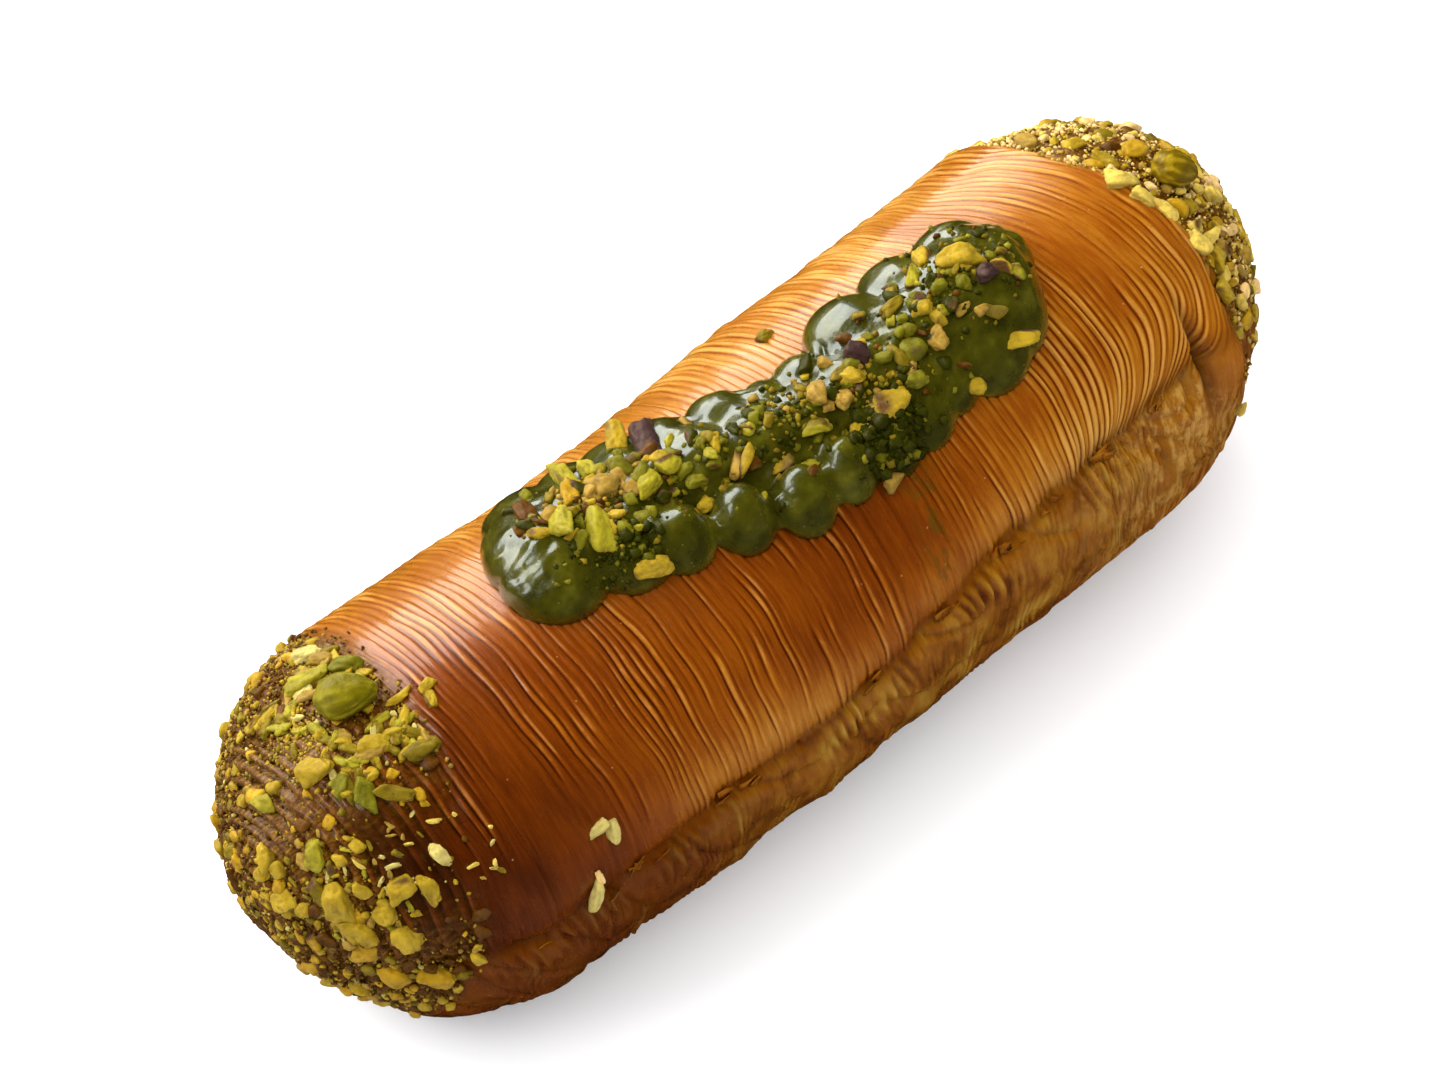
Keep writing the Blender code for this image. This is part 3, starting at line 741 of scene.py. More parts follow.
def band_lumps(x, up, z):
    """Broad lumps, creases and small lumps of the band, and its ruffled foot."""
    ragged = ramp_up(18, 50, x)
    creases = np.abs(bumps((x + 0.8 * up) / 11, up / 24, 13.0))
    lumps = BAND_LUMP * bumps((x + 0.5 * up) / 13, up / 16, 7.7) - BAND_SET_BACK
    lumps = lumps + BAND_CREASE * (0.25 - np.exp(-creases / 0.045))
    for calm_height, extra, slant, wide, tall, pattern in SMALL_LUMPS:
        lumps = lumps + (calm_height + extra * ragged) * bumps((x + slant * up) / wide, up / tall, pattern)
    return lumps + FOOT_RUFFLE * (1 + 1.5 * ragged) * hill(z - 3.0, 2.5) * bumps(x / 4.0, z / 4, 29.0)


from_groove = (angles - groove_angle(crust_x)) * along(WIDTHS, 0) / 2
from_groove = from_groove + GROOVE_WANDER * bumps(crust_x / 4.5, 0.0, 11.0)
run = ramp_up(-86, -74, crust_x) * (1 - ramp_up(60, 72, crust_x)) * (1 - fold_share(crust_x, angles))
band = ramp_up(-BAND_REACH - 8, -BAND_REACH, from_groove) * (1 - ramp_up(-1, 0, from_groove)) * run
pinch = 0.75 + 0.7 * bumps(crust_x / 6, 0.0, 17.0)
groove_side = np.where(from_groove > 0, GROOVE_ABOVE, GROOVE_BELOW)
groove = -GROOVE_DEPTH * run * pinch * np.exp(-np.abs(from_groove) / groove_side)
wrinkles = band * band_wrinkles(crust_x, from_groove)
lumps = band * band_lumps(crust_x, from_groove, plain[..., 2]) + WRINKLE * wrinkles
print("groove", span(groove), "mm, band", span(lumps), "mm")

# %% [markdown]
# ## Ridges
# No two rings are alike: each has its own strength, which changes along its length, and some groups of rings
# lie a little over their neighbours. In a few places the sheet was stretched smooth. On the near dome the
# dough gathers in coarse folds instead.

# %% Ridges
RIDGE, RIDGE_MIDDLE = 0.38, 0.7
RIDGE_STRENGTHS = (0.75, 0.85, 0.95, 1.0, 1.05, 1.15, 1.35)
# x, angle, half sizes and how much calmer
CALM = ((-10, 52, 6, 9, 0.8), (5, 50, 4, 18, 0.6), (-61, 32, 14, 24, 0.75), (-46, 18, 9, 9, 0.5))
NEAR_FOLDS = 2.2
GROUP_STEP, GROUP_SIZES = 0.55, (4, 5, 6, 7, 9)


def ridge_strength(x, t):
    """How high the ridges are at each place, about 1 on average."""
    rng = random.Random(9)
    own = np.array([rng.choice(RIDGE_STRENGTHS) for _ in range(RINGS)])[row_ring][:, None]
    ring = row_ring[:, None] + 0 * t
    alone = bumps(ring * 3.7, t * 1.9, 0.5) + 0.7 * bumps(ring * 5.3, t * 6.0, 2.5)
    patch = np.clip(1.0 + 0.9 * bumps(x / 16, t * 1.6, 8.0), 0.4 + 0.15 * ramp_up(12, 28, x), 1.4)
    value = own * np.clip(0.95 + 0.75 * alone, 0.3, 1.4) * patch
    value = value * (1 + 0.25 * ramp_up(15, 45, x)) * (1 - 0.8 * fold_share(x, t))
    for calm_x, calm_angle, half_x, half_angle, calmer in CALM:
        value = value * (1 - calmer * hill(x - calm_x, half_x) * hill(np.degrees(t) - calm_angle, half_angle))
    return value


def group_steps(x, t):
    """Groups of rings that lie a little over their neighbours, so each group ends in a low step."""
    rng = random.Random(21)
    rise = []
    while len(rise) < RINGS:
        count = rng.choice(GROUP_SIZES)
        rise += [(i + 0.5) / count - 0.5 for i in range(count)]
    return np.array(rise)[row_ring][:, None] * ramp_up(-0.15, 0.35, bumps(x / 9, t * 1.5, 23.0))


smooth_band = 1 - band * (1 - ramp_up(-0.1, 0.25, bumps(crust_x / 6, angles * 2.0, 19.0)))
strength = ridge_strength(crust_x, angles) * (1 + 0.5 * hill(crust_x + 84, 10)) * (0.12 + 0.88 * smooth_band)
gathered = np.clip(0.9 + 1.2 * bumps(crust_x / 5, angles * 2, 31.0), 0, 2)
strength = strength + NEAR_FOLDS * hill(crust_x + 84.5, 4.5) * gathered
strength = strength * (1 - 0.65 * ramp_up(72, 80, crust_x))
ridges = RIDGE * strength * (row_height[:, None] - RIDGE_MIDDLE)
ridges = ridges + GROUP_STEP * group_steps(crust_x, angles) * (size_at(crust_x) > 0.7)
print("ridges", span(ridges), "mm")

# %% [markdown]
# ## Fold, coat and seats
# The last fold is a short hill between two deep creases. Under the nut coat the dough is set back, to leave
# room for the crumbs, and craggy, like the paste between them. Each whole kernel sits in a shallow seat.

# %% Fold, coat and seats
FOLD_RISE, FOLD_CREASE = 2.6, 2.6
# place from the fold's middle and half width of each crease
FOLD_CREASES = ((-4.2, 0.9), (4.6, 0.8))
COAT_SET_BACK, COAT_CRAG, COAT_GRAIN = 1.0, 0.5, 0.3
# station, angle, length, width, thickness, turn
KERNEL_NEAR = (0.85, 100, 8.4, 6.3, 5.4, -35)
KERNEL_FAR = (2.38, 78.5, 7.4, 5.8, 5.0, -30)
SEAT_DEPTH = 0.8

degrees = np.degrees(angles)
fold_sides = sum(hill(crust_x - FOLD_X - place, half) for place, half in FOLD_CREASES)
fold_creases = hill(degrees - FOLD_ANGLE - 5, FOLD_HALF_ANGLE + 3) * fold_sides
fold = hill(degrees - FOLD_ANGLE, FOLD_HALF_ANGLE) * FOLD_RISE * hill(crust_x - FOLD_X, FOLD_HALF_WIDTH)
fold = fold - FOLD_CREASE * fold_creases
crags = COAT_CRAG * soft_noise(plain * MM * 330, 1.0) + COAT_GRAIN * soft_noise(plain, 1.1, 4.0)
crags = crags - COAT_SET_BACK
seats = 0 * angles
for p, seat_angle, length, _, _, _ in (KERNEL_NEAR, KERNEL_FAR):
    seat_middle = log_point(place_along(p), math.radians(seat_angle))
    seats = np.maximum(seats, hill(np.linalg.norm(plain - seat_middle, axis=-1), length * 0.6))
print("fold", span(fold), "mm, crags", span(crags), "mm")

# %% [markdown]
# ## The whole relief
# All heights are added up and the points pushed out along the log's own direction. The relief dies out just
# above the ground, so that the foot stays flat. Broad rolls keep the log from looking turned on a lathe.

# %% Whole relief
ROLL, ROLL_PER_M = 0.45, 70
FLAT_FOOT = 0.8

rolls = ROLL * bumps(crust_x * MM * ROLL_PER_M, angles * 0.9, 3.1)
height = ridges + rolls + groove + fold + lumps + in_coat * crags - SEAT_DEPTH * seats
height = height * ramp_up(FLAT_FOOT, 3 * FLAT_FOOT, plain[..., 2])
grid_normal = np.cross(np.gradient(plain, axis=0), np.roll(plain, -1, axis=1) - np.roll(plain, 1, axis=1))
grid_normal /= np.maximum(np.linalg.norm(grid_normal, axis=-1, keepdims=True), 1e-9)
crust_grid = plain + grid_normal * height[..., None]
crust_grid[..., 2] = np.maximum(crust_grid[..., 2], 0)
print("relief", span(height), "mm")

# %% [markdown]
# ## How the oven coloured it
# The colour follows the baking: darkest red-brown near the nut coat of the near end, amber in the middle,
# golden at the far end and paler on top. A smear of cream ran down the front below the crumbly patch. Each
# of these shares is stored on the points; the material below turns them into colour.

# %% Baking map
FRONT_BAKE = (0.98, 0.94, 0.74, 0.60, 0.79, 0.58, 0.53, 0.48, 0.36)
TOP_BAKE = (0.50, 0.47, 0.39, 0.34, 0.32, 0.32, 0.34, 0.34, 0.35)
MOST_BAKED = 1.2


def bake_map(x, t):
    """How dark the crust is baked; 0 is pale dough."""
    angle = np.degrees(t)
    front, top = along(FRONT_BAKE, 2 * x / LENGTH), along(TOP_BAKE, 2 * x / LENGTH)
    general = front + (top - front) * ramp_up(74, 116, angle)
    patches = bumps(x / 13, t * 2.2, 1.0)
    shoulder = hill(angle - 46, 40) * (1 - ramp_up(-76, -68, x))
    above_groove = hill((t - groove_angle(x)) * MEAN_RADIUS - 4, 6)
    above_groove = above_groove * ramp_up(-52, -38, x) * (1 - 0.7 * ramp_up(42, 58, x))
    bake = general + 0.10 * patches - 0.28 * above_groove + 0.22 * shoulder - 0.04 * fold_share(x, t)
    return np.clip(bake, 0, MOST_BAKED)


def smear_map(x, t):
    """Where the smear of cream lies."""
    angle = np.degrees(t)
    middle = 9.5 + 4 * (angle - 40) / 30 + 1.2 * bumps(angle / 9, 0.0, 33.0)
    width = 2.4 + 1.8 * bumps(angle / 6, x / 3, 35.0)
    return hill(x - middle, width) * ramp_up(20, 34, angle) * (1 - ramp_up(62, 70, angle))


print("baked", span(bake_map(crust_x, angles)))

# %% [markdown]
# ## What the crust's points know
# `wrap` is the place on the unrolled crust, along the log and round it, so that the material's streaks follow
# the rings. The other attributes are shares from 0 to about 1. The two numbers behind each grid are for the
# tips.

# %% Crust attributes
STRONGEST = 1.6
FOOT_HEIGHT = 3.5

# painted shade in the groove and in the fold's creases
groove_shade = np.maximum(hill(from_groove + 0.3, 1.5), 2 * fold_creases)
crust_attributes = {
    "bake": with_tips(bake_map(crust_x, angles), 0.6, 0.5),
    # painted shade: darker in the valleys between the ridges
    "valley_shade": with_tips(np.clip(strength * (1 - row_height[:, None]), 0, STRONGEST), 0.3, 0.3),
    # painted highlight along the ridges' near flanks
    "ridge_highlight": with_tips(np.clip(strength * row_highlight[:, None], 0, STRONGEST), 0, 0),
    "band": with_tips(band, 0, 0),
    # painted light and shade: wrinkle crests paler, troughs darker
    "wrinkle_shading": with_tips(wrinkles, 0, 0),
    "deep": with_tips(1 - ramp_up(-48, -16, crust_x), 1, 0),
    "pale": with_tips(ramp_up(22, 56, crust_x) * (1 - in_coat), 0, 0),
    "coat": with_tips(paste_share(crust_x, angles), 1, 1),
    # painted shade in the groove and the fold's creases
    "groove": with_tips(groove_shade * (1 - in_coat), 0, 0),
    "smear": with_tips(smear_map(crust_x, angles), 0, 0),
    # darker near the floor: partly browned dough, partly painted shade
    "foot": with_tips(hill(crust_grid[..., 2], FOOT_HEIGHT), 0, 0),
    "wrap": with_tips(stack3(base_x + 0 * angles, angles * MEAN_RADIUS, 0.0), (-100, 0, 0), (100, 0, 0)),
}
print("attributes:", ", ".join(crust_attributes))

# %% [markdown]
# ## The colour of the baked crust
# A ramp turns the baking into colour. Streaks round the log, finer fibres and broad patches break it up, the
# valleys between ridges are darkened as painted shade, and the ridges' near flanks are lightened as painted
# highlight, with thin broken pale lines of it where the crust is not too dark.

# %% Colour of the baked crust
BAKE_RANGE = 1.25
BAKED = (
    (0.0, (0.62, 0.32, 0.06)), (0.3, (0.40, 0.14, 0.008)), (0.5, (0.26, 0.062, 0.0018)),
    (0.7, (0.165, 0.031, 0.0007)), (0.95, (0.075, 0.012, 0.0003)), (1.2, (0.030, 0.006, 0.0003)),
)
# colour of the painted highlight on the ridges' crests
CREST_HIGHLIGHT = (0.60, 0.27, 0.06)


def baked_colour(tree, wrap, patches, ridge_highlight):
    """Colour of the glazed sheet."""
    bake = attribute(tree, "bake")
    fibres = streaks(tree, wrap, (3.2, 0.22), roughness=0.6)
    for pattern, amount in ((streaks(tree, wrap, (1.1, 0.09)), 0.26), (fibres, 0.30), (patches, 0.24)):
        bake = plus(tree, bake, scaled(tree, pattern, amount, -amount / 2))
    # painted shade: the valleys between the ridges are darkened
    bake = plus(tree, bake, scaled(tree, fade(tree, attribute(tree, "valley_shade"), 0.45, 1.3), 0.34, -0.03))
    # painted highlight: the crust is lightened along the ridges' near flanks
    bake = calc(tree, "SUBTRACT", bake, times(tree, ridge_highlight, 0.24))
    bake = times(tree, bake, 1 / BAKE_RANGE)
    colour = shades(tree, bake, [(darkness / BAKE_RANGE, shade) for darkness, shade in BAKED])
    # painted highlight: thin broken pale lines on the ridges, where the crust is not too dark
    torn = fade(tree, streaks(tree, wrap, (0.5, 0.14), 4, 0.65), 0.44, 0.62)
    crest_highlight = times(tree, fade(tree, attribute(tree, "ridge_highlight"), 0.65, 1.2), torn)
    crest_highlight = times(tree, crest_highlight, fade(tree, bake, 0.80, 0.40))
    return covered(tree, colour, CREST_HIGHLIGHT, times(tree, crest_highlight, 0.4))


print(len(BAKED), "shades of baking")

# %% [markdown]
# ## The colour of the band
# The edge of the sheet got less heat, so it is olive brown to straw. It is dark and red near the near end,
# and towards the far end its glaze is torn away in spots that show pale dough.

# %% Colour of the band
BAND_SHADES = (
    (0.34, (0.13, 0.030, 0.0006)), (0.50, (0.27, 0.085, 0.0025)), (0.64, (0.36, 0.16, 0.008)),
    (0.85, (0.52, 0.31, 0.05)),
)
DEEP_BAND, AMBER_BAND, TORN_BAND = (0.13, 0.024, 0.0005), (0.31, 0.10, 0.004), (0.60, 0.32, 0.06)


def band_colour(tree, wrap, ridge_highlight):
    """Colour of the sheet's edge below the groove."""
    # the painted ridge highlight lightens the band too
    light = plus(tree, streaks(tree, wrap, (0.14, 0.10), 4), times(tree, ridge_highlight, 0.14))
    light = plus(tree, light, scaled(tree, streaks(tree, wrap, (0.9, 0.16), 4, 0.6), 0.36, -0.18))
    # painted light and shade: the band is paler on wrinkle crests and darker in their troughs
    light = plus(tree, light, times(tree, attribute(tree, "wrinkle_shading"), 0.13))
    colour = shades(tree, light, BAND_SHADES)
    colour = covered(tree, colour, DEEP_BAND, times(tree, attribute(tree, "deep"), 0.85))
    torn = fade(tree, streaks(tree, wrap, (0.38, 0.22), 5, 0.7), 0.46, 0.60)
    pale = attribute(tree, "pale")
    colour = covered(tree, colour, AMBER_BAND, times(tree, pale, 0.6))
    return covered(tree, colour, TORN_BAND, times(tree, pale, scaled(tree, torn, 0.72, 0.02)))


print(len(BAND_SHADES), "shades of the band")

# %% [markdown]
# ## The crust's finish
# Egg wash bakes into a thin hard glaze, so the crust has a soft gloss and a clear second layer, the
# shader's coat, which is weaker where nut paste lies. Painted shade in the groove and its creases, a darker
# foot, the smear of cream, nut paste and specks are laid over the colours of crust and band one by one.

# %% Crust material
# the first colour is painted shade for the groove and its creases, and darkens the foot
PAINTED_SHADE_BROWN, SMEAR_GREEN, SPECK_PALE = (0.10, 0.026, 0.001), (0.07, 0.05, 0.003), (0.7, 0.42, 0.14)
PASTE_SHADES = ((0.35, (0.04, 0.009, 0.0003)), (0.5, (0.105, 0.036, 0.0010)), (0.68, (0.28, 0.14, 0.008)))


def stained(tree, wrap, colour):
    """The crust's colour under painted shade in the groove and creases, a darker foot, the smear, nut paste
    and specks.
    """
    # painted shade: darker in the groove and the fold's creases
    colour = covered(tree, colour, PAINTED_SHADE_BROWN, times(tree, attribute(tree, "groove"), 0.5, clamp=True))
    # darker near the floor: partly browned dough, partly painted shade
    colour = covered(tree, colour, PAINTED_SHADE_BROWN, times(tree, attribute(tree, "foot"), 0.7))
    broken = fade(tree, streaks(tree, wrap, (0.7, 0.28), 4, 0.6), 0.44, 0.60)
    smear = times(tree, attribute(tree, "smear"), broken)
    colour = covered(tree, colour, SMEAR_GREEN, times(tree, smear, 0.6))
    paste = shades(tree, streaks(tree, wrap, (1.1, 1.1), 5, 0.7), PASTE_SHADES)
    colour = covered(tree, colour, paste, attribute(tree, "coat"))
    return covered(tree, colour, SPECK_PALE, times(tree, specks(tree, wrap, 0.55, 0.10, 0.2), 0.4))


def crust_material():
    """Glazed laminated dough."""
    material, tree, shader = new_material(
        "baked_crust", 0.36, Specular_IOR_Level=0.35, Specular_Tint=(1.0, 0.88, 0.66, 1), Coat_Roughness=0.16,
    )
    wrap = attribute(tree, "wrap", "Vector")
    patches = streaks(tree, wrap, (0.16, 0.10))
    # painted highlight along the ridges, shared by crust and band
    ridge_highlight = fade(tree, attribute(tree, "ridge_highlight"), 0.4, 1.5)
    crust_colour = baked_colour(tree, wrap, patches, ridge_highlight)
    colour = covered(tree, crust_colour, band_colour(tree, wrap, ridge_highlight), attribute(tree, "band"))
    tree.links.new(stained(tree, wrap, colour), shader.inputs["Base Color"])
    normal = raise_surface(tree, streaks(tree, wrap, (4.0, 0.4), roughness=0.6), 0.00018)
    normal = raise_surface(tree, streaks(tree, wrap, (3.0, 2.4), 4, 0.6), 0.00010, below=normal)
    tree.links.new(normal, shader.inputs["Normal"])
    paste = attribute(tree, "coat")
    roughness = plus(tree, times(tree, patches, 0.26), scaled(tree, paste, 0.25, 0.14))
    tree.links.new(roughness, shader.inputs["Roughness"])
    tree.links.new(scaled(tree, paste, -0.55, 0.7), shader.inputs["Coat Weight"])
    return material


crust_skin = crust_material()
print("crust material with", len(crust_skin.node_tree.nodes), "nodes")

# %% [markdown]
# ## The crust
# The grid, its two tips, its attributes and its material come together here.

# %% Crust
NEAR_TIP, FAR_TIP = (-LENGTH / 2 + 0.9, 1.6, 28.7), (LENGTH / 2 - 0.9, 2.1, 28.4)

crust = make_piece(
    "crust", np.concatenate([crust_grid.reshape(-1, 3), [NEAR_TIP, FAR_TIP]]), tube_faces(len(row_p), AROUND),
    crust_skin, crust_attributes,
)
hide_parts("pastry")

# %% [markdown]
# ## Flakes at the groove
# Where the sheet's edge cracked in the oven, thin flakes stand up along the groove. Each is a small bent
# scale, a grid of three by three points with a second layer just below it, so that it has a thickness.

# %% Flakes
FLAKES, FLAKE_THICKNESS, FLAKE_SINK = 26, 0.22, 0.9
FLAKE_RUN = (-66, 56)
FLAKE_LOOKS = {"bake": 0.5, "ridge_highlight": 0.3, "band": 0.6}


def flake(rng):
    """Points of one flake: an uneven square that bends upwards, and its underside."""
    u, v = np.meshgrid((-0.5, 0.0, 0.5), (-0.5, 0.0, 0.5))
    length, width = rng.uniform(1.2, 3.2), rng.uniform(0.8, 1.8)
    x = u * length * (1 + 0.4 * v) + rng.uniform(-0.25, 0.25, u.shape)
    y = v * width + rng.uniform(-0.2, 0.2, u.shape)
    z = rng.uniform(0.2, 0.9) * (v + 0.5) ** 2 + rng.uniform(-0.15, 0.15, u.shape)
    over = np.stack([x, y, z], axis=-1).reshape(-1, 3)
    return np.concatenate([over, over * (0.9, 0.9, 1.0) - (0, 0, FLAKE_THICKNESS)])


def flake_faces():
    """Faces of the two layers of a flake and of its rim."""
    rim = (0, 1, 2, 5, 8, 7, 6, 3)
    over = [(r * 3 + c, r * 3 + c + 1, r * 3 + c + 4, r * 3 + c + 3) for r in (0, 1) for c in (0, 1)]
    under = [tuple(i + 9 for i in reversed(face)) for face in over]
    side = [(a, a + 9, b + 9, b) for a, b in zip(rim, rim[1:] + rim[:1])]
    return over + under + side


def lay_flake(rng):
    """One flake, laid on the crust at the groove."""
    x = rng.uniform(*FLAKE_RUN)
    t = float(groove_angle(x)) + rng.normal(-0.02, 0.03)
    normal = outward(station(x), np.array(t))
    axes = resting_frame(normal, rng.normal(0, 0.4))
    return log_point(x, t) - normal * FLAKE_SINK + flake(rng) @ axes


flake_rng = np.random.default_rng(71)
flake_points = np.concatenate([lay_flake(flake_rng) for _ in range(FLAKES)])
all_flake_faces = [tuple(i + 18 * n for i in face) for n in range(FLAKES) for face in flake_faces()]
flake_attributes = {key: np.full(len(flake_points), FLAKE_LOOKS.get(key, 0.0)) for key in crust_attributes}
flake_attributes["wrap"] = flake_points
flakes = make_piece("groove_flakes", flake_points, all_flake_faces, crust_skin, flake_attributes)

# %% [markdown]
# ## The piped cream
# The cream was piped as a row of spots that flow together. Each spot is half an ellipsoid; a high power
# mean joins them, which keeps a valley between two spots as real cream does.

# %% Cream spots
SPOT_BASE_HEIGHT, SPOT_HEIGHT_PER_RADIUS, SPOT_BLEND = 2.4, 0.45, 8
# x, y, radius
CREAM_SPOTS = np.array((
    (-35.9, 2.9, 7.6), (-33.4, 9.9, 7.4), (-31.2, 14.2, 6.2), (-26.2, -0.2, 7.2), (-28.0, 6.2, 8.0),
    (-20.2, -4.6, 4.8), (-11.9, -7.6, 4.7), (-3.5, -10.8, 4.5), (4.0, -11.2, 4.2),
    (11.0, -11.0, 5.2), (17.5, -10.5, 5.6), (23.5, -9.5, 5.2),
    (-24.2, 13.4, 5.5), (-18.0, 11.8, 5.5), (-11.2, 9.6, 5.1), (-3.2, 6.8, 4.8),
    (2.6, 3.6, 4.0), (8.8, 2.8, 4.4), (19.3, 4.3, 6.5), (29.2, 5.0, 5.9), (38.6, 3.4, 6.5),
    (-20.0, 5.4, 8.0), (-11.0, 3.4, 7.0), (-2.5, -0.2, 6.5), (4.5, -2.4, 6.2), (11.0, -3.5, 6.5),
    (17.0, -4.0, 7.5), (25.0, -3.0, 8.5), (33.0, -2.5, 9.0), (31.5, -8.0, 8.0), (36.0, -7.0, 7.5),
    (40.0, -1.2, 7.0), (-32.3, 6.5, 10.2), (34.5, -3.6, 10.6),
))
FRONT_BALLS = CREAM_SPOTS[5:9]


def cream_height(x, y):
    """Thickness of the cream over the crust."""
    total = 0.0 * (x + y)
    for sx, sy, r in CREAM_SPOTS:
        inside = np.clip(1 - ((x - sx) ** 2 + (y - sy) ** 2) / r ** 2, 0, 1)
        total = total + ((SPOT_BASE_HEIGHT + SPOT_HEIGHT_PER_RADIUS * r) * np.sqrt(inside)) ** SPOT_BLEND
    return total ** (1 / SPOT_BLEND)


def cream_edges(x):
    """Front and back edge of the cream at each x."""
    half = CREAM_SPOTS[:, 2] ** 2 - (x[:, None] - CREAM_SPOTS[:, 0]) ** 2
    root = np.sqrt(np.clip(half, 0, None))
    front = np.where(half > 0, CREAM_SPOTS[:, 1] - root, np.inf).min(axis=1)
    back = np.where(half > 0, CREAM_SPOTS[:, 1] + root, -np.inf).max(axis=1)
    return front, back


print(len(CREAM_SPOTS), "spots, thickest", round(float(cream_height(*CREAM_SPOTS[:, :2].T).max()), 1), "mm")

# %% [markdown]
# ## The cream's surface
# Four spots at the front stand out as round balls with a moat round each. Soft ripples run over the rest,
# most of them along the spine, where the nozzle was lifted. Two patches are crumbly, and a fan of fine lines
# shows the nozzle's teeth.

# %% Cream surface
CREAM_GAP = 0.4
BALL_RISE, BALL_MOAT, MOAT_PLACE, MOAT_WIDTH = 1.1, 1.0, 1.12, 0.15
SPINE_X, SPINE_Y = (-36, -28, -20, -8, 4, 14, 26, 38), (7, 6, 6, 0, -4, -5, -3, -3)
FAN_HEIGHT, FAN_PITCH = 0.7, 1.7


def cream_surface(x, y):
    """Height of the finished cream, and where it is crumbly."""
    thick = cream_height(x, y)
    inner = ramp_up(0.8, 3.0, thick)
    for bx, by, r in FRONT_BALLS:
        d = np.hypot(x - bx, y - by) / r
        ball_rise = BALL_RISE * np.clip(1 - d * d, 0, 1)
        thick = thick + inner * (ball_rise - BALL_MOAT * hill(d - MOAT_PLACE, MOAT_WIDTH))
    ripples = 0.30 * soft_noise(stack3(x, y, 0.0), 3.2) + 0.18 * soft_noise(stack3(x, y, 3.0), 1.3)
    near_spine = hill(y - np.interp(x, SPINE_X, SPINE_Y), 6.0)
    ripples = ripples + 0.5 * near_spine * soft_noise(stack3(x, y, 12.0), 1.9)
    crumbly = np.maximum(
        hill(x - 11.5, 4.6) * hill(y + 12.5, 4.5), 0.8 * hill(x + 25.5, 2.6) * hill(y + 3.5, 3.4),
    )
    crags = 1.5 * soft_noise(stack3(x, y, 6.0), 1.3) + 0.7 * soft_noise(stack3(x, y, 9.0), 0.7)
    fan = hill(x - 20.5, 5.0) * hill(y + 12, 4.0) * FAN_HEIGHT
    fan = fan * np.sin(2 * math.pi * (x + 0.35 * y) / FAN_PITCH)
    return top_height(x, y) + CREAM_GAP + thick + inner * ripples + crumbly * crags + fan * inner, crumbly


spine_height, _ = cream_surface(np.array(0.0), np.array(-2.0))
print("cream at the spine's middle:", round(float(spine_height), 1), "mm high")

# %% [markdown]
# ## The cream's grid
# The sheet is a grid like the crust's, with many steps over the top and a few underneath, where it dips
# into the crust and no gap can show. The rows are crowded towards both ends, where the outline turns fast.

# %% Cream grid
CREAM_ROWS, CREAM_TOP_STEPS, CREAM_UNDER_STEPS = 260, 96, 14
CREAM_SINK, CREAM_END_GAP = 0.3, 0.03
ROW_EASE = 0.1


def cream_grid():
    """Points of the cream, row by row, where it is crumbly, and its two ends."""
    low = (CREAM_SPOTS[:, 0] - CREAM_SPOTS[:, 2]).min() + CREAM_END_GAP
    high = (CREAM_SPOTS[:, 0] + CREAM_SPOTS[:, 2]).max() - CREAM_END_GAP
    f = np.arange(1, CREAM_ROWS) / CREAM_ROWS
    x = (low + high) / 2 - (high - low) / 2 * np.cos(math.pi * (f - ROW_EASE * np.sin(2 * math.pi * f)))
    front, back = cream_edges(x)
    over = np.arange(CREAM_TOP_STEPS + 1) / CREAM_TOP_STEPS
    under = 1 - np.arange(1, CREAM_UNDER_STEPS) / CREAM_UNDER_STEPS
    across = np.concatenate([over, under])
    y = ((front + back) / 2)[:, None] - ((back - front) / 2)[:, None] * np.cos(math.pi * across)
    xs = x[:, None] + 0 * y
    z, crumbly = cream_surface(xs, y)
    sunk = [0, *range(CREAM_TOP_STEPS, len(across))]
    z[:, sunk] = top_height(xs, y)[:, sunk] - CREAM_SINK
    return stack3(xs, y, z), crumbly, low, high


cream_points, crumbly, cream_low, cream_high = cream_grid()
print("cream from", round(cream_low, 1), "to", round(cream_high, 1), "mm along the log")

# %% [markdown]
# ## The cream's finish
# Pistachio cream is a fatty paste: dark green, wet and glossy, with fine bubbles and bits of ground nut in
# it. A trace of light inside it (subsurface) softens the dark valleys.

# %% Cream material
CREAM_SHADES = ((0.3, (0.024, 0.023, 0.001)), (0.55, (0.055, 0.050, 0.002)), (0.75, (0.105, 0.095, 0.006)))
BIT_COLOUR, CRUMBLY_COLOUR = (0.20, 0.19, 0.03), (0.012, 0.016, 0.001)


def cream_material():
    """Glossy pistachio paste."""
    material, tree, shader = new_material(
        "pistachio_cream", 0.26, Subsurface_Weight=0.08, Subsurface_Radius=(0.0006, 0.0009, 0.0002),
        Subsurface_Scale=1.0, Specular_Tint=(0.80, 1.0, 0.85, 1), Coat_Weight=1.0, Coat_Roughness=0.13,
    )
    place = tree.nodes.new("ShaderNodeTexCoord").outputs["Object"]
    colour = shades(tree, cloud(tree, place, 260, 4), CREAM_SHADES)
    bits = specks(tree, place, 900, 0.16, 0.35)
    colour = covered(tree, colour, BIT_COLOUR, times(tree, bits, 0.55))
    colour = covered(tree, colour, CRUMBLY_COLOUR, times(tree, attribute(tree, "crumbly"), 0.7))
    tree.links.new(colour, shader.inputs["Base Color"])
    pores = specks(tree, place, 650, 0.14, 0.3)
    normal = raise_surface(tree, cloud(tree, place, 1400, 4, 0.6), 0.00012)
    normal = raise_surface(tree, calc(tree, "SUBTRACT", 1.0, pores), 0.00010, below=normal)
    tree.links.new(normal, shader.inputs["Normal"])
    return material


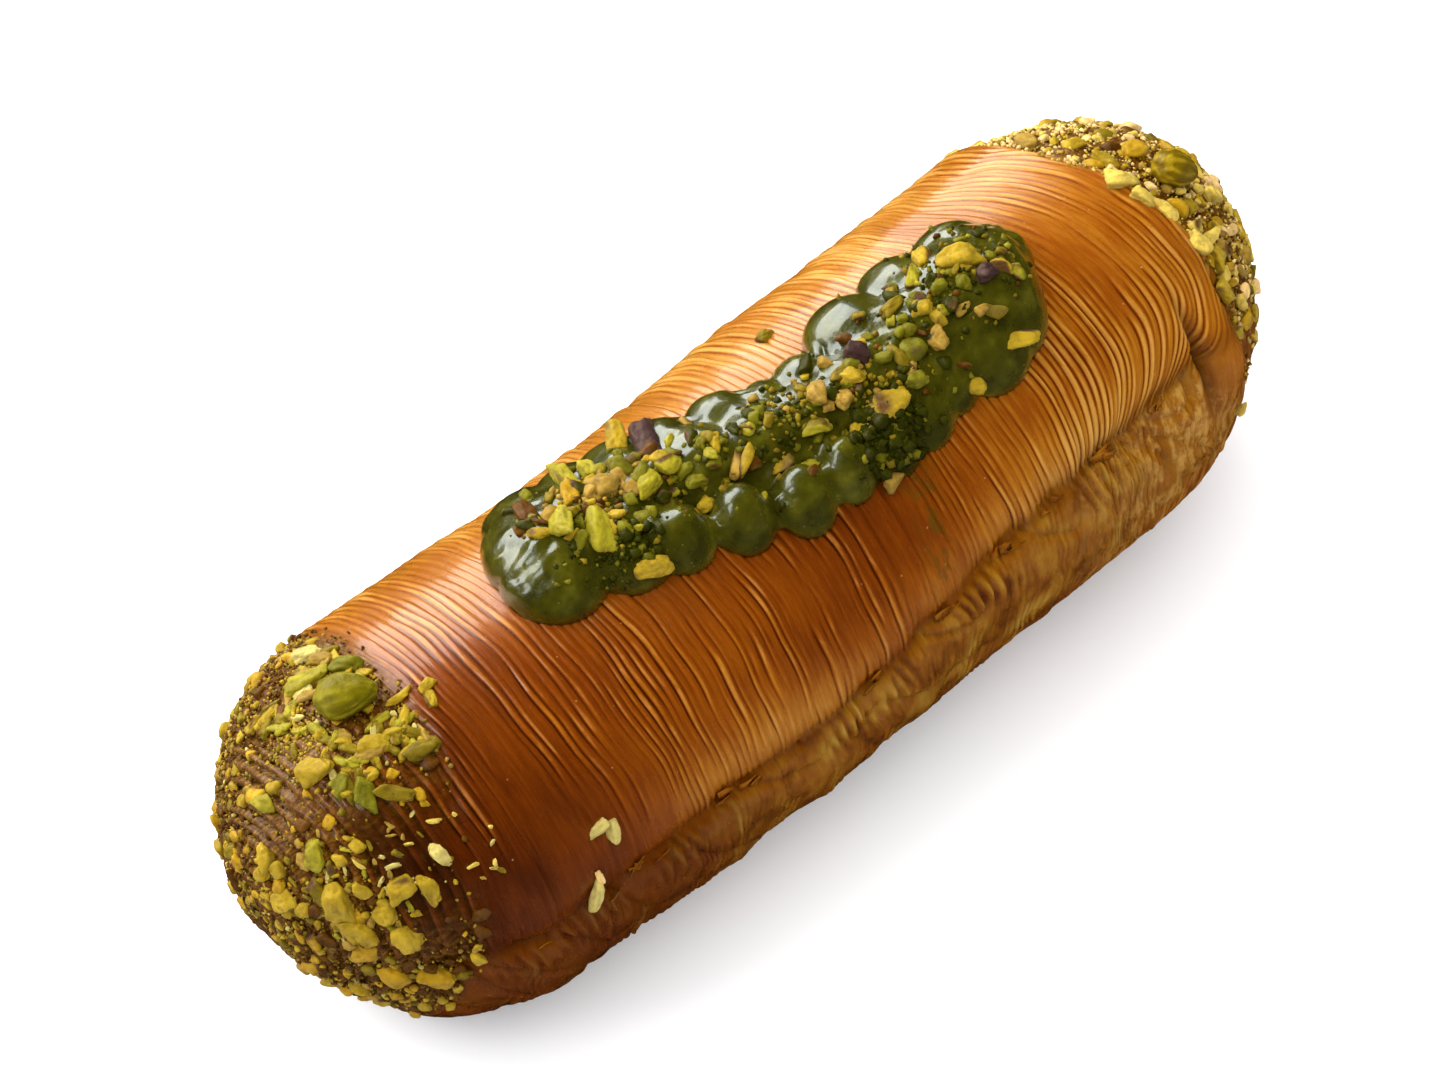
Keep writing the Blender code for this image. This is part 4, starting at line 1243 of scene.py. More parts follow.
cream_tips = [
    [x, y, float(top_height(np.array(x), np.array(y)))] for x, y in ((cream_low, 1.8), (cream_high, -2.5))
]
cream = make_piece(
    "cream_spots", np.concatenate([cream_points.reshape(-1, 3), cream_tips]),
    tube_faces(CREAM_ROWS - 1, CREAM_TOP_STEPS + CREAM_UNDER_STEPS), cream_material(),
    {"crumbly": with_tips(crumbly, 0, 0)},
)
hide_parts("cream")

# %% [markdown]
# ## Chopped nuts
# A knife leaves flat faces with slightly worn edges. Think of a ball whose reach in every direction is
# limited by a set of planes: a power mean of those limits gives flat faces that meet in soft edges. Each
# plane can carry its own tint, so a cut face is bright and a face with skin on it is brown or purple.

# %% Chopped nuts
NUT_THICKNESS = 0.75
NUT_SINK = 0.30
FLAT_FACES = np.array(((0, 0, 1), (0, 0, -1), (1, 0, 0.3), (-1, 0.2, 0), (0, 1, 0.2), (0.2, -1, 0)), float)
RANDOM_CUTS = 6
FACE_TILT = 0.18
SKIN_COLOURS = np.array(((0.09, 0.04, 0.012), (0.13, 0.09, 0.012), (0.09, 0.042, 0.022)))


def ball(subdivisions):
    """Directions and triangles of an even ball."""
    bm = bmesh.new()
    bmesh.ops.create_icosphere(bm, subdivisions=subdivisions, radius=1)
    points = np.array([v.co for v in bm.verts])
    faces = np.array([[v.index for v in f.verts] for f in bm.faces])
    bm.free()
    return points / np.linalg.norm(points, axis=1, keepdims=True), faces


def chopped(rng, directions, sizes, colours, softness, skin):
    """Points and colours of many chopped pieces, each lying on z = 0: sizes has a row for each piece."""
    count = len(sizes)
    normals = rng.normal(size=(count, RANDOM_CUTS, 3))
    normals = np.concatenate([np.broadcast_to(FLAT_FACES, (count, *FLAT_FACES.shape)), normals], axis=1)
    normals = normals + rng.normal(size=normals.shape) * FACE_TILT
    normals /= np.linalg.norm(normals, axis=2, keepdims=True)
    offsets = rng.uniform(0.68, 1.05, normals.shape[:2])
    limits = np.clip(np.einsum("vk,nfk->nvf", directions, normals), 0, None) / offsets[:, None, :]
    powers = limits ** softness
    total = powers.sum(axis=2, keepdims=True)
    points = directions * total ** (-1 / softness) * sizes[:, None, :] / 2
    bend = rng.uniform(-0.35, 0.35, (count, 1)) / sizes[:, :1]
    points[..., 2] += bend * points[..., 0] ** 2 + sizes[:, 2:] * (0.5 - NUT_SINK)
    tints = colours[:, None, :] * rng.uniform(0.72, 1.18, (*normals.shape[:2], 1))
    skinned = rng.random(normals.shape[:2]) < skin / 3
    tints = np.where(skinned[..., None], SKIN_COLOURS[rng.integers(0, 3, normals.shape[:2])], tints)
    weights = (powers / total) ** 2
    return points, weights @ tints / weights.sum(axis=2, keepdims=True)


print("a large nut has", len(ball(4)[1]), "triangles, a small one", len(ball(3)[1]))

# %% [markdown]
# ## Broken faces and heaps
# Nut flesh breaks as much as it cuts, so smooth noise roughens each piece. A `Heap` gathers many pieces into
# one mesh, because Blender handles one large mesh far better than a thousand small objects.

# %% Broken nuts and heaps
NOISE_SHIFT = 40


def broken_nuts(rng, sizes, colours, subdivisions, softness=7.0, skin=0.25, rough=0.16):
    """Points, colours and triangles of chopped pieces with broken, lumpy faces."""
    directions, faces = ball(subdivisions)
    points, colours = chopped(rng, directions, sizes, colours, softness, skin)
    places = directions[None] + rng.uniform(0, NOISE_SHIFT, len(sizes))[:, None, None]
    lumpy = 1 + rough * soft_noise(places, 0.55) + 0.4 * rough * soft_noise(places, 0.22, 4.0)
    return points * lumpy[..., None], colours, faces


class Heap:
    """Many small pieces gathered into one mesh."""

    def __init__(self):
        """Start with nothing in the heap."""
        self.points, self.faces, self.colours, self.count = [], [], [], 0

    def add(self, points, faces, colours):
        """Put one more piece in, with a colour for each point."""
        self.points.append(points)
        self.faces.append(faces + self.count)
        self.colours.append(np.concatenate([colours, np.ones((len(colours), 1))], axis=1))
        self.count += len(points)

    def piece(self, name, material):
        """Turn the heap into one finished piece."""
        return make_piece(
            name, np.concatenate(self.points), np.concatenate(self.faces).tolist(), material,
            {"tint": np.concatenate(self.colours)},
        )


print("heaps ready")

# %% [markdown]
# ## The nuts' finish
# Nut flesh is matt and a little waxy. The tint comes from the points; the nodes add the fine mottling,
# the tooth marks of the knife, and a slight light inside.

# %% Nut material
# straw and sand are the palest colours; on the far end they serve as painted light
NUT_COLOURS = {
    "yellow": (0.38, 0.25, 0.014), "gold": (0.42, 0.24, 0.010), "lime": (0.30, 0.25, 0.014),
    "green": (0.15, 0.135, 0.006), "olive": (0.19, 0.13, 0.006), "tan": (0.33, 0.20, 0.030),
    "brown": (0.10, 0.036, 0.003), "purple": (0.055, 0.026, 0.024), "pale": (0.52, 0.42, 0.12),
    "moss": (0.030, 0.032, 0.001), "straw": (0.64, 0.46, 0.08), "sand": (0.80, 0.53, 0.20),
}
MOTTLE_TINT = (0.50, 0.42, 0.34)


def nut_material(name, mottling, roughness):
    """Chopped pistachio flesh."""
    material, tree, shader = new_material(
        name, roughness, Specular_IOR_Level=0.3, Specular_Tint=(1.0, 0.85, 0.5, 1), Subsurface_Weight=0.10,
        Subsurface_Radius=(0.0008, 0.0007, 0.0002), Subsurface_Scale=1.0,
    )
    place = tree.nodes.new("ShaderNodeTexCoord").outputs["Object"]
    tint = attribute(tree, "tint", "Color")
    mottle = cloud(tree, place, 900, 4, 0.6)
    darker = covered(tree, tint, MOTTLE_TINT, 1.0, "MULTIPLY")
    colour = covered(tree, tint, darker, times(tree, fade(tree, mottle, 0.56, 0.34), mottling))
    tree.links.new(colour, shader.inputs["Base Color"])
    normal = raise_surface(tree, mottle, 0.00022)
    normal = raise_surface(tree, cloud(tree, place, 2600, 3, 0.6), 0.00006, below=normal)
    tree.links.new(normal, shader.inputs["Normal"])
    return material


def colour_rows(names):
    """The colours of many pieces by their names."""
    return np.array([NUT_COLOURS[name] for name in names])


flesh = nut_material("nut_flesh", 0.5, 0.5)
kernel_skin = nut_material("kernel_skin", 0.25, 0.4)
print(len(NUT_COLOURS), "colours of nut")

# %% [markdown]
# ## The nuts on the cream
# The pieces that a viewer would recognise are placed one by one, each with its place, size, turn and
# colour.

# %% Nuts on the cream
# x, y, length, width, turn, colour
TOP_NUTS = (
    (-32.7, 4.7, 6.0, 3.5, 50, "lime"), (-29.6, 1.2, 6.5, 4.0, 55, "lime"),
    (-28.5, 8.2, 5.0, 3.0, 60, "gold"), (-34.2, 10.6, 5.0, 2.5, 65, "brown"),
    (-24.0, 5.8, 4.5, 3.5, 80, "tan"), (-25.3, 13.2, 5.0, 3.2, 75, "lime"),
    (-22.3, 11.4, 4.0, 3.0, 70, "lime"), (-13.9, 9.0, 6.5, 4.0, 60, "purple"),
    (-16.2, 12.6, 5.4, 3.4, 50, "yellow"), (-19.7, 2.3, 4.2, 3.2, 0, "lime"),
    (-15.2, 2.9, 4.6, 3.0, 10, "lime"), (-14.2, -0.9, 3.6, 2.4, -20, "green"),
    (-14.4, -3.3, 3.0, 2.6, 0, "yellow"), (-7.5, -2.2, 7.0, 2.6, 38, "tan"),
    (-2.6, -5.9, 3.8, 2.4, -20, "yellow"), (0.0, -8.0, 4.0, 2.2, -5, "lime"),
    (-26.8, -6.3, 6.0, 3.4, -25, "yellow"), (6.0, -2.8, 4.5, 3.0, 60, "tan"),
    (3.6, -6.0, 4.0, 3.0, -35, "lime"), (8.6, -5.2, 3.5, 3.0, 10, "tan"),
    (11.2, -3.8, 4.2, 3.0, -60, "yellow"), (8.2, -9.0, 3.8, 2.8, 0, "yellow"),
    (13.2, -9.6, 6.6, 4.2, -15, "yellow"), (14.4, -1.6, 5.0, 4.0, -50, "purple"),
    (17.8, -10.0, 4.0, 2.6, -20, "green"), (23.6, 0.4, 5.0, 2.0, 5, "olive"),
    (25.5, -3.0, 3.0, 2.6, -50, "yellow"), (24.2, -7.7, 3.6, 3.2, 20, "tan"),
    (28.8, 2.0, 4.2, 2.2, 40, "lime"), (32.2, 3.8, 4.0, 2.8, 70, "yellow"),
    (34.0, -0.5, 6.2, 3.8, -40, "yellow"), (35.4, -5.2, 4.0, 3.0, 10, "purple"),
    (38.3, -5.4, 3.4, 2.2, -50, "yellow"), (34.4, -13.4, 5.4, 2.8, -22, "yellow"),
)
# x, y, size, colour
SMALL_NUTS = (
    (-11.0, -1.1, 2.8, "green"), (-4.2, -0.6, 2.4, "lime"), (-35.9, 6.0, 2.8, "yellow"),
    (-36.8, 8.7, 2.2, "brown"), (-8.0, 1.0, 2.0, "green"), (-10.0, 2.5, 2.0, "green"),
    (-26.5, 9.5, 2.4, "olive"), (-30.5, 9.8, 2.2, "olive"), (-24.5, 8.5, 2.4, "yellow"),
    (-20.5, 7.5, 3.5, "green"), (15.6, 1.8, 2.5, "brown"), (20.5, -6.3, 4.6, "green"),
    (22.0, -4.0, 2.4, "green"), (21.3, -1.5, 2.2, "lime"), (27.3, -5.0, 2.4, "lime"),
    (25.4, -1.2, 2.0, "green"), (39.4, -7.0, 2.6, "lime"), (25.5, -13.8, 3.0, "yellow"),
    (8.0, -15.8, 3.0, "tan"), (29.5, -6.8, 2.4, "tan"), (-31.5, 5.8, 2.4, "brown"), (-22.0, 3.2, 2.6, "tan"),
    (-26.4, 6.6, 3.0, "tan"), (5.6, -0.4, 2.2, "olive"),
)
NUT_TILT = 0.35


def on_cream(x, y):
    """Place on the finished cream, or on the crust beside it."""
    z, _ = cream_surface(np.array(x), np.array(y))
    beside = top_height(np.array(x), np.array(y)) + CREAM_GAP + 1
    return np.array((x, y, max(float(z), float(beside))))


def leaning_frame(lean, turn):
    """Axes of a piece that leans a little from upright."""
    return resting_frame(np.array(Vector((*lean, 1)).normalized()), turn)


def add_nuts(heap, rng, places, axes, sizes, names, subdivisions=4, skin=0.25):
    """Chopped pieces, one for each place, each with its own axes."""
    points, colours, faces = broken_nuts(rng, sizes, colour_rows(names), subdivisions, skin=skin)
    for place, own_axes, one, shade in zip(places, axes, points, colours):
        heap.add(place + one @ own_axes, faces, shade)


def nut_sizes(rows):
    """Length, width and thickness of every row of a table."""
    return np.array([(row[2], row[3], row[3] * NUT_THICKNESS) for row in rows])


top_heap = Heap()
top_rng = np.random.default_rng(31)
small_rows = [(x, y, size, size * 0.8, top_rng.uniform(0, 180), c) for x, y, size, c in SMALL_NUTS]
for rows, subdivisions in ((TOP_NUTS, 4), (small_rows, 3)):
    axes = [leaning_frame(top_rng.uniform(-NUT_TILT, NUT_TILT, 2), math.radians(row[4])) for row in rows]
    places, names = [on_cream(row[0], row[1]) for row in rows], [row[5] for row in rows]
    add_nuts(top_heap, top_rng, places, axes, nut_sizes(rows), names, subdivisions)
print(len(TOP_NUTS) + len(SMALL_NUTS), "nuts placed on the cream")

# %% [markdown]
# ## Strewn chips
# Between the placed pieces lie smaller chips. Their places are random but crowd along the spine of the cream,
# and chips that would miss the cream are left out.

# %% Strewn chips
CHIP_SHARES = {
    "lime": 0.14, "yellow": 0.14, "olive": 0.16, "tan": 0.06, "green": 0.22, "moss": 0.23, "brown": 0.05,
}
CHIPS, CHIP_SPREAD, CHIP_RUN = 130, 3.8, (-36, 41)
CHIP_WIDTHS, CHIP_STRETCH = (1.0, 2.3), (1.1, 1.9)
CHIP_BED = 2.5

chip_rng = np.random.default_rng(37)
chip_x = chip_rng.uniform(*CHIP_RUN, CHIPS * 2)
chip_y = np.interp(chip_x, SPINE_X, SPINE_Y) + chip_rng.normal(0, CHIP_SPREAD, len(chip_x))
keep = np.flatnonzero(cream_height(chip_x, chip_y) > CHIP_BED)[:CHIPS]
width = chip_rng.uniform(*CHIP_WIDTHS, len(keep))
chip_lengths = width * chip_rng.uniform(*CHIP_STRETCH, len(keep))
chip_sizes = np.stack([chip_lengths, width, width * NUT_THICKNESS], axis=1)
chip_names = chip_rng.choice(list(CHIP_SHARES), len(keep), p=list(CHIP_SHARES.values()))
leans = chip_rng.normal(0, NUT_TILT, (len(keep), 2))
chip_turns = chip_rng.uniform(0, math.pi, len(keep))
chip_axes = [leaning_frame(lean, turn) for lean, turn in zip(leans, chip_turns)]
chip_places = [on_cream(chip_x[i], chip_y[i]) for i in keep]
add_nuts(top_heap, chip_rng, chip_places, chip_axes, chip_sizes, chip_names, subdivisions=3)
top_heap.piece("nuts_on_cream", flesh)
print(len(keep), "chips strewn")

# %% [markdown]
# ## Granules
# A granule is too small to need cut faces: a jittered ball of twenty triangles is enough.
# Thousands of them are made at once, by giving one ball many sizes, turns and places.

# %% Granules
GRANULE_JITTER, GRANULE_STRETCH, GRANULE_SIZE = (0.55, 1.25), (0.5, 1.0), 0.6


def random_turns(rng, count):
    """Random rotation matrices, from random unit quaternions."""
    q = rng.normal(size=(count, 4))
    w, x, y, z = (q / np.linalg.norm(q, axis=1, keepdims=True)).T
    return np.stack([
        np.stack([1 - 2 * (y * y + z * z), 2 * (x * y - z * w), 2 * (x * z + y * w)], axis=-1),
        np.stack([2 * (x * y + z * w), 1 - 2 * (x * x + z * z), 2 * (y * z - x * w)], axis=-1),
        np.stack([2 * (x * z - y * w), 2 * (y * z + x * w), 1 - 2 * (x * x + y * y)], axis=-1),
    ], axis=1)


def add_granules(heap, rng, places, sizes, colours):
    """One jagged granule for each place."""
    directions, faces = ball(1)
    count = len(places)
    jitter = rng.uniform(*GRANULE_JITTER, (count, len(directions), 1))
    shape = rng.uniform(*GRANULE_STRETCH, (count, 1, 3)) * sizes[:, None, None] * GRANULE_SIZE
    points = np.einsum("nij,nkj->nki", random_turns(rng, count), directions * jitter * shape)
    points = points + places[:, None, :]
    shade = rng.uniform(0.6, 1.2, (count, 1))
    many = (faces[None] + (np.arange(count) * len(directions))[:, None, None]).reshape(-1, 3)
    heap.add(points.reshape(-1, 3), many, np.repeat(colours * shade, len(directions), axis=0))


def pick_colours(rng, count, mix):
    """Colours for many granules, by name and share."""
    share = np.array(list(mix.values()), float)
    return colour_rows(mix)[rng.choice(len(mix), size=count, p=share / share.sum())]


print("a granule has", len(ball(1)[1]), "triangles")

# %% [markdown]
# ## Granules on the cream
# Ground nut lies along the middle of the cream, and in a few dense patches, where the crumbs are darker
# because the cream has soaked them.

# %% Granules on the cream
GRANULE_TRIES, GRANULE_RUN, GRANULE_SPREAD, GRANULE_SHARE = 900, (-39, 43), 4.0, 0.42
GRANULE_SPINE_X, GRANULE_SPINE_Y = (-36, -20, 0, 12, 28, 40), (6, 3, -4, -5, -3, -3)
GRANULE_MIX = {"lime": 2, "green": 5, "moss": 8, "olive": 4, "yellow": 0.8, "brown": 1}
SMALLEST_GRANULE = 0.5
# x, y, spread, count, largest size and colours of the patches of fine crumbs
CRUMB_PATCHES = (
    (11.0, -13.0, 2.6, 230, 2.8, {"moss": 8, "green": 1.5, "olive": 0.5}),
    (-25.5, -3.5, 1.6, 60, 2.4, {"moss": 6, "green": 3, "olive": 1}),
    (-25.5, 7.0, 2.2, 120, 1.6, {"tan": 3, "brown": 2, "gold": 1}),
    (-31.0, -2.0, 2.5, 60, 1.2, {"moss": 4, "green": 2}),
    (2.0, -2.5, 3.2, 90, 1.5, {"moss": 3, "olive": 3, "green": 2, "tan": 1}),
    (33.0, -1.0, 4.0, 110, 1.4, {"moss": 4, "olive": 3, "green": 2, "brown": 1.5}),
    (14.0, -7.5, 2.6, 80, 1.5, {"olive": 3, "tan": 2, "brown": 2, "yellow": 1}),
)


def add_cream_granules(heap, rng, x, y, lift, keep, largest, mix):
    """Granules at those places on the cream that are kept."""
    places = np.stack([x, y, cream_surface(x, y)[0] + lift], axis=-1)[keep]
    sizes = rng.uniform(SMALLEST_GRANULE, largest, keep.sum())
    add_granules(heap, rng, places, sizes, pick_colours(rng, keep.sum(), mix))


granule_heap = Heap()
granule_rng = np.random.default_rng(41)
x = granule_rng.uniform(*GRANULE_RUN, GRANULE_TRIES)
y = np.interp(x, GRANULE_SPINE_X, GRANULE_SPINE_Y) + granule_rng.normal(0, GRANULE_SPREAD, len(x))
keep = (cream_height(x, y) > 2.2) & (granule_rng.random(len(x)) < GRANULE_SHARE)
add_cream_granules(granule_heap, granule_rng, x, y, -0.1, keep, 1.5, GRANULE_MIX)
for middle_x, middle_y, spread, count, largest, mix in CRUMB_PATCHES:
    x = middle_x + granule_rng.normal(0, spread, count)
    y = middle_y + granule_rng.normal(0, spread, count)
    add_cream_granules(granule_heap, granule_rng, x, y, 0.1, cream_height(x, y) > 0.5, largest, mix)
granule_heap.piece("granules_on_cream", flesh)

# %% [markdown]
# ## Large nuts on the ends
# The ends were pressed into chopped nuts, so pieces of every size stick there. The large ones that a viewer
# would recognise come first, and with them a few loose ones on the crust.

# %% Large nuts on the ends
# station, angle, length, width, turn, colour
END_NUTS = (
    (0.91, 129, 4.4, 2.8, -40, "pale"), (0.82, 118, 6.4, 3.0, -25, "lime"),
    (0.95, 112, 5.0, 3.0, -70, "green"), (0.81, 85, 4.4, 3.2, -40, "yellow"),
    (0.90, 77, 5.6, 2.8, -10, "olive"), (0.68, 76, 4.4, 3.6, 50, "green"), (0.64, 82, 4.0, 2.8, 30, "green"),
    (0.62, 92, 5.6, 4.0, -30, "yellow"), (0.75, 71, 5.0, 2.8, -50, "olive"),
    (0.43, 106, 4.2, 2.8, -80, "lime"), (0.43, 70, 4.6, 3.2, 45, "lime"), (0.40, 45, 6.2, 4.4, 60, "yellow"),
    (0.54, 23, 5.2, 3.6, -80, "yellow"), (0.51, 35, 3.8, 2.8, -80, "yellow"),
    (0.60, 44, 3.6, 3.0, 0, "yellow"), (0.67, 40, 5.4, 2.6, -95, "yellow"), (0.75, 49, 3.8, 2.6, -80, "pale"),
    (0.41, 29, 4.8, 3.6, -60, "yellow"), (0.36, 54, 4.2, 2.6, 80, "olive"),
    (0.29, 90, 3.8, 2.8, 20, "yellow"), (0.48, -1, 4.8, 3.2, -60, "gold"), (0.60, 1, 4.2, 2.8, -50, "gold"),
    (0.40, 14, 4.2, 3.2, 0, "gold"), (0.21, 60, 3.8, 3.0, 0, "yellow"), (2.20, 86, 5.2, 3.6, -40, "straw"),
    (2.21, 78, 3.8, 2.6, -70, "straw"), (2.36, 94, 5.8, 3.2, 0, "gold"), (2.24, 94, 5.0, 2.8, -80, "yellow"),
    (2.17, 122, 5.8, 3.2, 60, "tan"), (2.50, 63, 4.0, 3.6, 0, "straw"), (2.25, 71, 4.8, 2.8, -90, "straw"),
    (2.27, 56, 4.6, 3.6, -60, "straw"), (2.33, 49, 3.8, 2.8, 0, "yellow"),
    (2.25, 41, 4.6, 3.2, -80, "yellow"),
)
# x, angle, length, width, turn, colour
LOOSE_NUTS = (
    (-51.4, 30, 3.8, 2.2, 75, "pale"), (-52.9, 34, 3.0, 1.8, 10, "pale"), (-57.3, 15, 4.6, 2.2, 50, "pale"),
    (-55.8, 20, 2.4, 1.2, 80, "sand"), (-59.8, 90, 3.4, 1.8, 10, "yellow"),
    (-60.8, 86, 2.8, 1.8, 60, "yellow"), (13.0, 121, 3.2, 2.0, 20, "olive"),
)


def on_crust(p, t, sink=0.0):
    """Places on the crust, lowered where the coat is set back."""
    x = place_along(p)
    depth = COAT_SET_BACK * coat_share(x, t) + sink
    return log_point(x, t) - outward(p, t) * np.asarray(depth)[..., None]


def lying(p, t, turn, tilt=(0.0, 0.0)):
    """Axes that lie on the crust, tilted a little."""
    normal = outward(np.array(p), np.array(t)) + np.array((tilt[0], 0.0, tilt[1]))
    return resting_frame(normal / np.linalg.norm(normal), turn)


end_heap = Heap()
rows = END_NUTS + tuple((float(station(x)), *row) for x, *row in LOOSE_NUTS)
places = [on_crust(np.array(row[0]), np.radians(row[1])) for row in rows]
axes = [lying(row[0], math.radians(row[1]), math.radians(row[4])) for row in rows]
names = [row[5] for row in rows]
add_nuts(end_heap, np.random.default_rng(53), places, axes, nut_sizes(rows), names, skin=0.04)
print(len(rows), "nuts placed on the ends")

# %% [markdown]
# ## Splinters and a net of grains
# Round the near kernel thin splinters lie across each other, and below it the finest grains are pressed into
# rows like a net. Both join the large nuts in one mesh.

# %% Splinters and net
ROD_MIX = {"lime": 4, "yellow": 4, "olive": 2.5, "pale": 1.2, "tan": 1}
SLIVER_MIX = {"pale": 3, "tan": 2, "straw": 2, "olive": 2}
# stations, angles, count, widths, colours and seed: round the kernel, on the shoulder and below it
RODS = (
    ((0.62, 0.97), (78, 126), 120, (0.9, 1.8), ROD_MIX, 57),
    ((0.52, 0.94), (38, 64), 36, (0.45, 0.8), SLIVER_MIX, 67),
    ((0.30, 0.60), (20, 70), 40, (0.6, 1.1), ROD_MIX, 77),
)
CLEAR_OF_KERNEL = 4.2
NET_STATIONS, NET_ANGLES, NET_ROWS = (0.54, 0.74), (94, 112), 12
NET_MIX = {"tan": 4, "yellow": 2, "olive": 4}


def add_lying_nuts(heap, rng, p, t, sizes, mix, subdivisions, softness, skin, rough, sink, tilt=None):
    """Chopped pieces that lie on the crust, each with its own turn, and a tilt if one is given."""
    colours = pick_colours(rng, len(p), mix)
    points, colours, faces = broken_nuts(rng, sizes, colours, subdivisions, softness, skin, rough)
    for i, place in enumerate(on_crust(p, t, sink)):
        turn = rng.uniform(0, math.pi)
        lean = rng.uniform(-tilt, tilt, 2) if tilt else (0.0, 0.0)
        heap.add(place + points[i] @ lying(p[i], t[i], turn, lean), faces, colours[i])


def add_rods(heap, stations, angle_range, count, widths, mix, seed):
    """Thin splinters of nut, clear of the near kernel."""
    rng = np.random.default_rng(seed)
    p, angle = rng.uniform(*stations, count), rng.uniform(*angle_range, count)
    away = np.hypot((p - KERNEL_NEAR[0]) * 40, (angle - KERNEL_NEAR[1]) / 2) > CLEAR_OF_KERNEL
    p, t = p[away], np.radians(angle[away])
    width = rng.uniform(*widths, len(p))
    sizes = np.stack([width * rng.uniform(1.2, 3.2, len(p)), width, width * 0.9], axis=1)
    add_lying_nuts(heap, rng, p, t, sizes, mix, 3, softness=4.0, skin=0.05, rough=0.30, sink=-0.1)


def add_net(heap, rng):
    """Even fine grains in rows."""
    p, angle = np.meshgrid(np.linspace(*NET_STATIONS, NET_ROWS), np.linspace(*NET_ANGLES, NET_ROWS))
    p = p.ravel() + rng.normal(0, 0.002, p.size)
    t = np.radians(angle.ravel() + rng.normal(0, 0.15, p.size))
    sizes = rng.uniform(0.6, 0.9, len(p))
    add_granules(heap, rng, on_crust(p, t, sink=-0.15), sizes, pick_colours(rng, len(p), NET_MIX))


for setting in RODS:
    add_rods(end_heap, *setting)
add_net(end_heap, np.random.default_rng(59))
print(len(end_heap.points) - len(rows) - 1, "splinters and", NET_ROWS ** 2, "grains")

# %% [markdown]
# ## Crumbs
# Crumbs lie side by side like pebbles and never through each other. The largest are placed first, each at
# the first random place that is free, and smaller ones fill the gaps.

# %% Crumbs
COAT_ANGLES = (-66, 246)
CLOSENESS = 0.44
TRIES_EACH = 15
SMALL_BIAS = 1.6


def packed(rng, count, low, high, sizes):
    """Places for pebbles of falling size, side by side without crossing, as p, t and size."""
    kept, kept_sizes, rows = np.zeros((0, 3)), np.zeros(0), []
    trials = count * TRIES_EACH
    tried_angles = rng.uniform(*np.radians(COAT_ANGLES), trials)
    tries = iter(zip(rng.uniform(low, high, trials), tried_angles, rng.random(trials)))
    for size in sorted(sizes, reverse=True):
        for p, t, chance in tries:
            x = place_along(p)
            spot = log_point(x, t)
            if spot[2] < size or chance > size_at(x) * coarse_cover(x, t):
                continue
            if (np.linalg.norm(kept - spot, axis=1) > CLOSENESS * (size + kept_sizes)).all():
                kept, kept_sizes = np.vstack([kept, spot]), np.append(kept_sizes, size)
                rows.append((p, t, size))
                break
    return np.array(rows).T


def add_crumbs(heap, rng, low, high, count, smallest, largest, subdivisions, mix):
    """Flat crumbs packed side by side."""
    wanted = smallest + (largest - smallest) * rng.random(count) ** SMALL_BIAS
    p, t, size = packed(rng, count, low, high, wanted)
    lengths, heights = size * rng.uniform(1.0, 1.5, len(p)), size * rng.uniform(0.6, 0.9, len(p))
    sizes = np.stack([lengths, size, heights], axis=1)
    add_lying_nuts(
        heap, rng, p, t, sizes, mix, subdivisions, softness=6.0, skin=0.1, rough=0.14, sink=0.05, tilt=0.25,
    )


print("crumbs ready")

# %% [markdown]
# ## Dust
# The finest crumbs fill whatever is left. Random places are thinned out by the cover map, so dust gathers
# where the coat is thick; `evenness` adds a little everywhere else.

# %% Dust
DUST_TRIES = 5
CLEAR_OF_FLOOR = 0.8


def dust_places(rng, count, low, high, evenness, angle_range):
    """Random stations and angles on an end; evenness adds dust where the cover is thin."""
    p = rng.uniform(low, high, count * DUST_TRIES)
    t = rng.uniform(*np.radians(angle_range), count * DUST_TRIES)
    x = place_along(p)
    likely = size_at(x) * np.clip(cover(x, t) + evenness * coat_share(x, t), 0, 1)
    keep = (rng.random(len(p)) < likely) & (log_point(x, t)[..., 2] > CLEAR_OF_FLOOR)
    return p[keep][:count], t[keep][:count]


def add_dust(heap, rng, low, high, count, smallest, largest, evenness, mix, angle_range=COAT_ANGLES):
    """Fine jagged crumbs between the larger ones."""
    p, t = dust_places(rng, count, low, high, evenness, angle_range)
    sizes = smallest + (largest - smallest) * rng.random(len(p)) ** 2
    add_granules(heap, rng, on_crust(p, t, sink=-0.1), sizes, pick_colours(rng, len(p), mix))


print("dust ready")

# %% [markdown]
# ## The coats of both ends
# Each end gets two grades of crumbs and up to three of dust. The near coat is full of brown skin. The far
# one is lightened as painted light with straw and sand, most of all on top.

# %% Coats
LARGE_MIX = {"olive": 2.5, "yellow": 3, "gold": 4, "tan": 1.5, "brown": 2}
CRUMB_MIX = {"olive": 2.5, "yellow": 3, "gold": 3.5, "tan": 2, "brown": 6}
# painted light: the far end's colours are paler than the near end's, and its top is palest
FAR_PAINTED_LIGHT_MIX = {"straw": 7, "yellow": 4, "gold": 4, "sand": 5, "tan": 1.5, "olive": 0.8, "brown": 0.6}
DUST_MIX = {"olive": 2, "tan": 2, "brown": 9, "yellow": 0.6, "gold": 2}
FAR_TOP_PAINTED_LIGHT_MIX = {"straw": 6, "sand": 10, "tan": 3, "gold": 2, "olive": 0.5, "brown": 0.5}
FAR_FRONT_MIX = {"straw": 2, "sand": 3, "tan": 3, "gold": 3, "olive": 1, "brown": 3}
SPECK_MIX = {"pale": 3, "tan": 3, "yellow": 2, "olive": 1}
